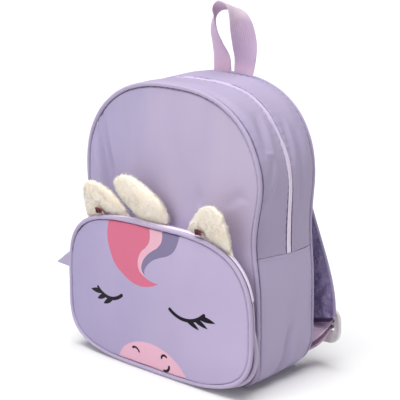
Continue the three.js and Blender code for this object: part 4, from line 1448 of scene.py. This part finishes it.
def brushed_finish(strap_length):
    """Brushed mesh that turns dark at the strap's tip, a painted shadow at the strap's lower end."""
    constants = {"Sheen Weight": 0.35, "Sheen Roughness": 0.4, "Specular IOR Level": 0.15}
    material, start = new_finish("brushed_mesh", constants)
    along, across = cloth_place(start)
    nap = noise(start, 260.0, 4.0, (1, 1, 0.6))
    wear = noise(start, 110.0, 4.0, (1, 1, 0.8))
    cells = weave(along, across, MESH_PITCH)
    tone = mix_colour(wear.step(0.36, 0.64), shade(110, 97, 137), shade(144, 132, 169))
    tone = mix_colour(nap.step(0.5, 0.72) * 0.5, tone, shade(178, 166, 198))
    tone = mix_colour((1 - cells) * nap.step(0.45, 0.3) * 0.5, tone, shade(88, 74, 118))
    tone = mix_colour(noise(start, 620.0, 3.0).step(0.54, 0.66) * 0.6, tone, shade(84, 70, 112))
    # Painted shadow over the last few millimetres of the strap's lower end.
    tip = along.step(strap_length - TIP_SHADOW_FROM, strap_length - TIP_SHADOW_FULL)
    return feed(material, {
        "Base Color": mix_colour(tip, tone, shade(66, 46, 78)),
        "Roughness": 0.85 + 0.1 * wear,
        "Normal": raised(start, nap * 0.7 + cells * 0.3, 0.5, 0.7),
    })


STRAP_CLOTH = cloth_finish("strap_cloth", shade(170, 162, 190), shade(177, 165, 191))
BINDING_CLOTH = cloth_finish("binding_cloth", shade(154, 142, 176), shade(160, 147, 177), FINE_PITCH)

# %% Straps
STRAP_ROWS = [  # place, across, width
    ((38, 48.0, 291), (1, 0, 0), 44),
    ((38.6, 49.6, 283), (1, 0, 0), 45),
    ((40, 54.4, 270), (1, 0, 0), 46),
    ((46, 66, 235), (1, 0, 0.1), 46),
    ((57, 73, 190), (1, 0, 0.2), 46),
    ((72, 75, 150), (1, 0, 0.3), 45),
    ((92.5, 72, 105), (1, 0, 0.3), 46),
    ((107, 68, 74), (1, 0, 0.2), 42.5),
    ((111.9, 66, 53), (1, 0, 0.1), 39),
    ((113.2, 65.4, 47.2), (1, 0, 0.1), 32),
]
PAD_STEP, PAD_SIDES, PAD_SQUARENESS = 4.0, 32, 0.6
PAD_HALF_THICK, PAD_RISE = 3.0, 1.6
SEWN_SHARE, SEWN_RUN = 0.3, 18
BINDING_RADIUS, BINDING_INSET, BINDING_OUT, END_RISE = 1.7, 0.9, 0.1, 3.6
STRAP_LINE = [(at, across) for at, across, _ in STRAP_ROWS]
STRAP_LENGTH = float(band_frame(STRAP_LINE, PAD_STEP)[1][-1])
BRUSHED_MESH = brushed_finish(STRAP_LENGTH)
print("straps:", round(STRAP_LENGTH), "mm long")


def tube_points(path, over, radius, sides=10):
    """A tube along a path; over points away from the path and is never along it."""
    way = unit(np.gradient(path, axis=0))
    aside = unit(np.cross(way, over))
    up = np.cross(aside, way)
    turn = np.linspace(0, 2 * np.pi, sides, endpoint=False)
    ring = aside[:, None] * np.cos(turn)[:, None] + up[:, None] * np.sin(turn)[:, None]
    return path[:, None] + ring * radius


def strap(place, side):
    """A pad, blown up between its pinned edges, and the binding round its edge."""
    widths = np.array([[width] for _, _, width in STRAP_ROWS], float)
    centre, length, across, over, t = band_frame(STRAP_LINE, PAD_STEP)
    half = catmull(widths, t)[:, 0] / 2 - BINDING_INSET
    turn = np.arange(PAD_SIDES) * 2 * np.pi / PAD_SIDES
    u = bent(np.cos(turn), PAD_SQUARENESS)
    v = bent(np.sin(turn), PAD_SQUARENESS) * PAD_HALF_THICK
    u[np.abs(np.cos(turn)) < 1e-6] = 0
    sewn = lerp(SEWN_SHARE, 1, ease(length / SEWN_RUN))
    section = np.stack(np.broadcast_arrays(half[:, None] * u, sewn[:, None] * v), axis=-1)
    points = settle(band_points(centre, across, over, section)) * (side, 1, 1)
    name = f"shoulder_strap_{place}"
    pad = grid_piece(name + "_pad", points, ring_cloth(length, points), ring=True, caps=True)
    steps = np.arange(len(centre)) * PAD_SIDES
    ends = np.r_[np.arange(PAD_SIDES), steps[-1] + np.arange(PAD_SIDES)]
    stuff(pad, PAD_RISE, np.r_[steps, steps + PAD_SIDES // 2, ends])
    faces = np.arange((len(centre) - 1) * PAD_SIDES) % PAD_SIDES >= PAD_SIDES // 2
    kinds = np.r_[faces, [False, False]].astype(np.int32)
    pad.data.polygons.foreach_set("material_index", kinds)
    dress(pad, BRUSHED_MESH, "strap_pad", name)
    pad.data.materials.append(STRAP_CLOTH)
    smoothed(pad)

    edge = half + BINDING_OUT
    left_edge, right_edge = (centre + s * across * edge[:, None] for s in (-1, 1))
    corner = np.linspace(-1, 1, 9)[1:-1, None]
    end = centre[-1] + across[-1] * edge[-1] * corner + np.array([0, 0, END_RISE])
    path = np.vstack([left_edge[:-2], end, right_edge[-3::-1]])
    path_over = np.vstack([over[:-2], np.repeat(over[-1:], len(end), axis=0), over[-3::-1]])
    tube = settle(tube_points(path, path_over, BINDING_RADIUS)) * (side, 1, 1)
    places = ring_cloth(path_length(path), tube)
    binding = grid_piece(name + "_binding", tube, places, ring=True, caps=True)
    dress(binding, BINDING_CLOTH, "strap_pad")


for place, side in SIDES.items():
    strap(place, side)

# %% [markdown]
# ## Tab and zip sliders
# A folded tab closes the pocket zip at the left and serves as something to pull on. The two
# sliders are small cast pieces, painted in the colour of the zip. All of them are lofts:
# flat sections with round edges that grow and shrink along the piece.


# %% Tab and sliders
def box_section(half_width, low, high, sides=28, squareness=0.35):
    """Sections like rounded boxes, one for each row of the sizes."""
    turn = np.linspace(0, 2 * np.pi, sides, endpoint=False) + 0.01
    u, v = bent(np.cos(turn), squareness), bent(np.sin(turn), squareness)
    half_width, low, high = (np.asarray(a, float)[:, None] for a in (half_width, low, high))
    return half_width * u, (low + high) / 2 + (high - low) / 2 * v


TAB = {"root": -133.8, "tip": -162, "high": 108, "low": 84, "tip_high": 87.4, "tip_low": 85.6}
TAB_MIDDLE, TAB_HALF_THICK, TAB_STEPS = -65.9, 1.0, 20
t = close_rows(0, 1, TAB_STEPS)
high, low = lerp(TAB["high"], TAB["tip_high"], t), lerp(TAB["low"], TAB["tip_low"], t)
thick = np.full(TAB_STEPS + 1, TAB_HALF_THICK)
u, v = box_section((high - low) / 2, -thick, thick)
x = np.broadcast_to(lerp(TAB["root"], TAB["tip"], t)[:, None], u.shape)
points = np.stack([x, TAB_MIDDLE + v, (high + low)[:, None] / 2 + u], axis=-1)
tab = grid_piece("pocket_zip_tab_cloth", points, ring_cloth(-x[:, 0], points), ring=True, caps=True)
dress(tab, STRAP_CLOTH, "webbing", "pocket_zip_tab")

SLIDER_BODY = [  # run, low, high, half width
    (0, 0.3, 1.6, 1.6), (0.8, 0.3, 2.2, 2.4), (3, 0.3, 3.6, 3.4), (7, 0.3, 3.7, 3.5),
    (11, 0.3, 3.4, 3.0),
]
SLIDER_PULL = [
    (12.4, 1.8, 3.1, 1.6), (14, 1.8, 3.2, 2), (27, 1.8, 3, 3), (29.2, 1.8, 3, 2.6),
    (30, 2, 2.8, 1.4),
]
SLIDER_STEP, SLIDER_SQUARENESS = 0.5, 0.5


def painted_finish():
    constants = {"Coat Roughness": 0.2, "IOR": 1.5}
    material, start = new_finish("painted_slider", constants)
    rub = noise(start, 420.0, 3.0)
    rubbed = rub.step(0.55, 0.75) * 0.4
    return feed(material, {
        "Base Color": mix_colour(rubbed, shade(206, 190, 222), shade(176, 160, 192)),
        "Roughness": 0.28 + 0.22 * rub,
        "Coat Weight": 0.5 - 0.3 * rub,
    })


PAINTED = painted_finish()


def slider(name, rows, nose, along, over):
    """A cast piece that starts at its nose; along is its way and over lies across the zip."""
    run, low, high, half = np.array(rows, float).T
    fine = np.linspace(0, run[-1], int(run[-1] / SLIDER_STEP) + 1)
    sizes = (np.interp(fine, run, column) for column in (half, low, high))
    u, v = box_section(*sizes, squareness=SLIDER_SQUARENESS)
    along, over = unit(np.array(along, float)), np.array(over, float)
    out = unit(np.cross(over, along))
    across = np.cross(along, out)
    points = np.asarray(nose) + along * fine[:, None, None]
    points = points + across * u[..., None] + out * v[..., None]
    piece = grid_piece(name + "_cast", settle(points), ring_cloth(fine, points), ring=True, caps=True)
    dress(piece, PAINTED, "zip", name)


MAIN_SINK, MAIN_HEIGHT = 0.8, 156
POCKET_SINK, POCKET_HEIGHT, WAY_STEP = 0.4, 109, 6
MAIN_NOSE = (-(FRONT_HALF_WIDTH + BACK_HALF_WIDTH) / 2 - SWELL + MAIN_SINK, 0, MAIN_HEIGHT)
slider("main_zip_slider", SLIDER_BODY + SLIDER_PULL, MAIN_NOSE, (0, 0, -1), (0, 1, 0))
half_way = len(POCKET_SEAM) // 2
foot_at = np.interp(-POCKET_HEIGHT, -POCKET_SEAM[half_way:, 1], POCKET_WAY[half_way:])
zip_edges = np.array([SEAM_SHARE, ZIP_SHARE])
rows = pocket_points(np.array([foot_at - WAY_STEP, foot_at]), zip_edges, POCKET_SINK)
middle = rows.mean(axis=1)
way = unit(middle[1] - middle[0])
nose = middle[1] - way * SLIDER_BODY[-1][0]
slider("pocket_zip_slider", SLIDER_BODY, nose, way, rows[1, 1] - rows[1, 0])

# %% [markdown]
# ## Plush ears and horn
# Ears and horn are cream plush, flat bags of short pile that stand on the pocket's top. Each
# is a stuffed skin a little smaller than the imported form, and thousands of tufts fill the
# rest. A tuft is a thin closed spike, and all tufts of a piece are one mesh. They stand out,
# hang down a little and swirl, which gives the wavy edge that plush has. They take their
# normals from the skin and cast no shadow, so that the pile is lit as evenly as real pile,
# which lets light through.

# %% Plush skins
PLUSH_MIDDLE, PLUSH_LEAN, SEAT_GAP = -62.5, 0.3, 0.8
EAR_ROWS = [  # rise, near side, far side, half thickness
    (0, 43, 109, 3.5), (7, 46, 110.5, 5), (17, 55.5, 110, 6), (26, 64, 108.5, 6),
    (34, 73, 106.5, 5.5), (40, 82, 104.5, 4.5), (44, 89, 101.5, 3), (46, 95, 96, 0.5),
]
NEAR_MORE, FAR_MORE = 3, 2.5
RIGHT_EAR_ROWS = [(rise, near - NEAR_MORE, far + FAR_MORE, thick) for rise, near, far, thick in EAR_ROWS]
HORN_ROWS = [
    (0, -31, 16, 5), (7, -37, 17, 7.5), (15, -45, 16, 9), (23, -52, 12, 9.5), (31, -56, 5, 9),
    (38, -57, -5, 8), (44, -53, -15, 6.5), (48, -46, -23, 4), (50, -36, -33, 0.5),
]
PILE_ROOM, LEAST_HALF, LEAST_THICK = 0.9, 0.6, 0.5
SKIN_STEPS, EVEN_SIZE, PLUSH_RISE = 40, 2.5, 1.5
CLUMP_WAYS, CLUMP_RISE = WAVE_WAYS * 9, 0.15


def plush_seat(x, y):
    """Height of the pocket's top under the plush."""
    seam = pocket_seam_depth(x, POCKET_TOP)
    share = (y - seam) / (front_face(x, BASE_TOP) - seam)
    width = lerp(POCKET_HALF_WIDTH, BASE_HALF_WIDTH, share)
    top = lerp(POCKET_TOP, BASE_TOP, share)
    rise = np.maximum(1 - (np.abs(x) / width) ** POCKET_POWER, 0) ** (1 / POCKET_POWER)
    return POCKET_WAIST + (top - POCKET_WAIST) * rise + POCKET_SWELL + SEAT_GAP


def plush_skin(name, rows, side):
    """A closed skin through the rows, made into even faces and blown up."""
    rise, near, far, thick = catmull(np.array(rows, float), np.linspace(0, 1, SKIN_STEPS)).T
    middle, half = (near + far) / 2, np.maximum((far - near) / 2 - PILE_ROOM, LEAST_HALF)
    thick = np.maximum(thick - PILE_ROOM, LEAST_THICK)
    rise = rise * (1 - PILE_ROOM / rise[-1])
    turn = np.linspace(0, 2 * np.pi, SKIN_STEPS, endpoint=False)
    x = side * (middle[:, None] + half[:, None] * np.cos(turn))
    out = thick[:, None] * np.sin(turn)
    z = plush_seat(x, PLUSH_MIDDLE + out) + rise[:, None]
    points = settle(np.stack([x, PLUSH_MIDDLE - PLUSH_LEAN * rise[:, None] + out, z], axis=-1))
    clumps = np.sin(points @ CLUMP_WAYS[:, :4] + WAVE_STARTS[:4]).sum(axis=-1)
    points = lifted(points, CLUMP_RISE * clumps)
    skin = grid_piece(name, points, ring_cloth(rise, points), ring=True, caps=True)
    even = skin.modifiers.new("even", "REMESH")
    even.mode, even.voxel_size = "VOXEL", EVEN_SIZE * MM
    keep(skin, even)
    stuff(skin, PLUSH_RISE)
    smoothed(skin)
    skin.data.shade_smooth()
    return skin


def plush_finish():
    constants = {
        "Sheen Weight": 0.4, "Sheen Roughness": 0.5, "Specular IOR Level": 0.1,
        "Subsurface Weight": 0.5, "Subsurface Radius": (0.003, 0.0027, 0.0022),
    }
    material, start = new_finish("cream_plush", constants)
    blots = noise(start, 70.0, 4.0)
    tufts = noise(start, 420.0, 3.0)
    tone = mix_colour(blots.step(0.35, 0.7), shade(247, 237, 224), shade(245, 232, 214))
    return feed(material, {
        "Base Color": mix_colour(tufts.step(0.5, 0.7) * 0.45, tone, shade(230, 213, 193)),
        "Roughness": 0.86 + 0.1 * tufts,
        "Normal": raised(start, tufts, 0.12, 0.3),
    })


CREAM_PLUSH = plush_finish()
TUFTS, TUFT_HALF_WIDTH, TUFT_LENGTHS, TUFT_ROOT = 9000, 0.26, (1.0, 2.8), 0.4
TUFT_LEAN = {"out": 1.2, "swirl": 0.5, "down": -0.25, "stray": 0.45}
LENGTH_WAYS = WAVE_WAYS * 11
LIT_ALONG, LIT_UP = 0.4, 0.3
SPIKE = [(0, 2, 1), (0, 1, 3), (1, 2, 3), (2, 0, 3)]


def joined_piece(name, items, faces):
    """Many small things of the same form as one mesh."""
    count, corners = items.shape[:2]
    starts = np.arange(count)[:, None, None] * corners
    all_faces = (starts + np.array(faces)).reshape(-1, len(faces[0]))
    return new_piece(name, items.reshape(-1, 3), all_faces.tolist())


def pile(name, skin, seed):
    """Tufts that stand on a skin: closed spikes of four faces each, as one mesh."""
    rng = np.random.default_rng(seed)
    mesh = skin.data
    mesh.calc_loop_triangles()
    corners = np.empty(len(mesh.loop_triangles) * 3, np.int32)
    mesh.loop_triangles.foreach_get("vertices", corners)
    triangles = (coordinates(mesh) / MM)[corners.reshape(-1, 3)]
    sides = np.cross(triangles[:, 1] - triangles[:, 0], triangles[:, 2] - triangles[:, 0])
    areas = np.linalg.norm(sides, axis=1)
    chosen = rng.choice(len(areas), TUFTS, p=areas / areas.sum())
    a, b = np.sort(rng.uniform(size=(2, TUFTS)), axis=0)
    weights = np.stack([a, b - a, 1 - b], axis=1)
    root = np.sum(triangles[chosen] * weights[..., None], axis=1)
    normal = unit(sides)[chosen]
    swirl = np.sin(root @ CLUMP_WAYS[:, :3] + WAVE_STARTS[:3])
    lean = normal * TUFT_LEAN["out"] + TUFT_LEAN["swirl"] * swirl + (0, 0, TUFT_LEAN["down"])
    way = unit(lean + rng.normal(0, TUFT_LEAN["stray"], (TUFTS, 3)))
    clumps = 1 + 0.5 * np.sin(root @ LENGTH_WAYS[:, 3:]).mean(axis=1)
    length = (rng.uniform(*TUFT_LENGTHS, TUFTS) * clumps)[:, None]
    aside = unit(np.cross(way, rng.normal(size=(TUFTS, 3))))
    other = np.cross(way, aside)
    foot = root - normal * TUFT_ROOT
    turns = (0, 2.1, 4.2)
    ring = [foot + TUFT_HALF_WIDTH * (math.cos(t) * aside + math.sin(t) * other) for t in turns]
    tufts = joined_piece(name, np.stack([*ring, root + way * length], axis=1), SPIKE)
    lit = unit(normal + LIT_ALONG * way + (0, 0, LIT_UP))
    tufts.data.normals_split_custom_set_from_vertices(np.repeat(lit, 4, axis=0).tolist())
    tufts.visible_shadow = False
    return tufts


PLUSH = [("horn", HORN_ROWS, 1), ("ear_left", EAR_ROWS, -1), ("ear_right", RIGHT_EAR_ROWS, 1)]
FIRST_SEED = 5
for seed, (name, rows, side) in enumerate(PLUSH, FIRST_SEED):
    skin = plush_skin(f"{name}_plush", rows, side)
    dress(skin, CREAM_PLUSH, "plush", name)
    dress(pile(f"{name}_pile", skin, seed), CREAM_PLUSH, "plush")

# %% [markdown]
# ## Ear linings
# At the foot of each ear a small furl of felt shows, with a pink edge; the rest of it is dark
# red-brown, a painted shadow in the fold. It is a petal whose border curls forward, so that
# it holds its own shadow as well.

# %% Ear linings
LINING = {"half_width": 5.6, "height": 7.6, "foot": 4.2, "clear": 8.4, "thick": 0.9}
LINING_LEAN = math.atan(0.42)
LINING_CURL = {"sides": 2.2, "tip": 2.6, "cup": 1.4}
LINING_PLACES = {"left": -82, "right": 69}


def lining_finish():
    constants = {"Sheen Weight": 0.25, "Specular IOR Level": 0.15}
    material, start = new_finish("ear_fold_painted_shade", constants)
    along, across = cloth_place(start)
    fibres = noise(start, 900.0, 4.0)
    # Painted shadow in the fold: dark red-brown, mottled by the fibres; the pink edge is the lining's
    # own colour.
    fold_shade = mix_colour(fibres.step(0.4, 0.7), shade(66, 24, 28), shade(132, 66, 66))
    pink = along.step(3.6, 4.2) * (1 - across.step(3.4, 4.6))
    return feed(material, {
        "Base Color": mix_colour(pink, fold_shade, shade(226, 170, 184)),
        "Roughness": 0.88 + 0.08 * fibres,
        "Normal": raised(start, fibres, 0.3),
    })


EAR_FOLD_SHADE = lining_finish()
for place, x in LINING_PLACES.items():
    u, v = np.meshgrid(np.linspace(-1, 1, 33), np.linspace(0, 1, 21))
    half = LINING["half_width"] * np.sqrt(np.maximum(1 - v**2.4, 0.0))
    curl = LINING_CURL["sides"] * np.abs(u) ** 2.5 + LINING_CURL["tip"] * v**4
    curl = curl - LINING_CURL["cup"] * (1 - u * u) * (1 - v)
    rise = LINING["height"] * v
    y = PLUSH_MIDDLE - LINING["clear"] - rise * math.sin(LINING_LEAN) - curl
    z = plush_seat(x, PLUSH_MIDDLE) + LINING["foot"] + rise * math.cos(LINING_LEAN)
    points = np.stack([x + half * u, y, z], axis=-1)
    cloth = np.stack([half * u, rise], axis=-1)
    lining = grid_piece(f"ear_lining_{place}_felt", points, cloth)
    dress(thicken(lining, LINING["thick"]), EAR_FOLD_SHADE, "ear_lining", f"ear_lining_{place}")

# %% [markdown]
# ## Stitches
# Seams that carry weight are sewn down a second time, in a row of stitches that shows. Each
# stitch is a short thread that dips into the cloth at both ends, so a small spindle with
# six corners will do. The rows lie on the same cloth as the strips, worked out once more
# for a narrow line, and the stitches of a row are one mesh.

# %% Stitches
TWIST_PITCH = 0.3
THREAD = cloth_finish("thread", shade(192, 181, 212), shade(200, 187, 212), TWIST_PITCH)
STITCH = {"pitch": 3.2, "length": 2.5, "half_width": 0.3, "lift": 0.1}
SPINDLE = [
    (0, 2, 4), (2, 1, 4), (1, 3, 4), (3, 0, 4),
    (2, 0, 5), (1, 2, 5), (3, 1, 5), (0, 3, 5),
]


def stitches(name, path, normals, slot):
    """A row of stitches along a path on the cloth."""
    run = path_length(path)
    middle = np.arange(STITCH["pitch"], run[-1] - STITCH["pitch"], STITCH["pitch"])

    def read(values, at):
        return np.stack([np.interp(at, run, column) for column in values.T], axis=1)

    start = read(path, middle - STITCH["length"] / 2)
    end = read(path, middle + STITCH["length"] / 2)
    up = unit(read(normals, middle))
    aside = unit(np.cross(end - start, up)) * STITCH["half_width"]
    top = read(path, middle) + up * STITCH["lift"]
    lift = up * STITCH["half_width"]
    spindles = np.stack([start, end, top - aside, top + aside, top + lift, top - lift], axis=1)
    piece = joined_piece(name, spindles, SPINDLE)
    turn_outward(piece)
    dress(piece, THREAD, slot)


ROW_FROM_EDGE, ROW_STEP, CROSS_STEP, CROSS_FROM_EDGE = 2.4, 1.5, 1.0, 3
NARROW = np.array([-0.4, 0, 0.4])
*ZIP_STRIPS, BASE_STRIP = STRIPS
for name, run, front, back, *piped in ZIP_STRIPS:
    y = back - ROW_FROM_EDGE if piped[0] else front + ROW_FROM_EDGE
    along = np.arange(run[0] + 1, run[1] - 1, ROW_STEP)
    line = gusset_sheet(along, y + NARROW, run, front, back, *piped)
    stitches(f"{name}_stitches", line[:, 1], normals_of(line)[:, 1], "body_cloth")

_, run, front, back, *piped = BASE_STRIP
depths = np.arange(front + CROSS_FROM_EDGE, back - CROSS_FROM_EDGE, CROSS_STEP)
for place, at in (("right", run[1] - ROW_FROM_EDGE), ("left", run[0] + ROW_FROM_EDGE)):
    line = gusset_sheet(at + NARROW, depths, run, front, back, *piped)
    stitches(f"cross_seam_stitches_{place}", line[1], normals_of(line)[1], "body_cloth")

BORDER_SHARE, BORDER_STEP = 0.93, 0.004
shares = BORDER_SHARE + BORDER_STEP * np.array([-1, 0, 1])
rim = np.vstack([BACK_RIM, BACK_RIM[:1]])
border = np.stack([
    shares[:, None] * rim[:, 0],
    np.broadcast_to((FACE + BACK_CROWN * crown(shares))[:, None], (3, len(rim))),
    lerp(PANEL_CENTRE, rim[:, 1], shares[:, None]),
], axis=-1)
line = crease(border)
stitches("back_panel_stitches", line[1], normals_of(line)[1], "back_pad")
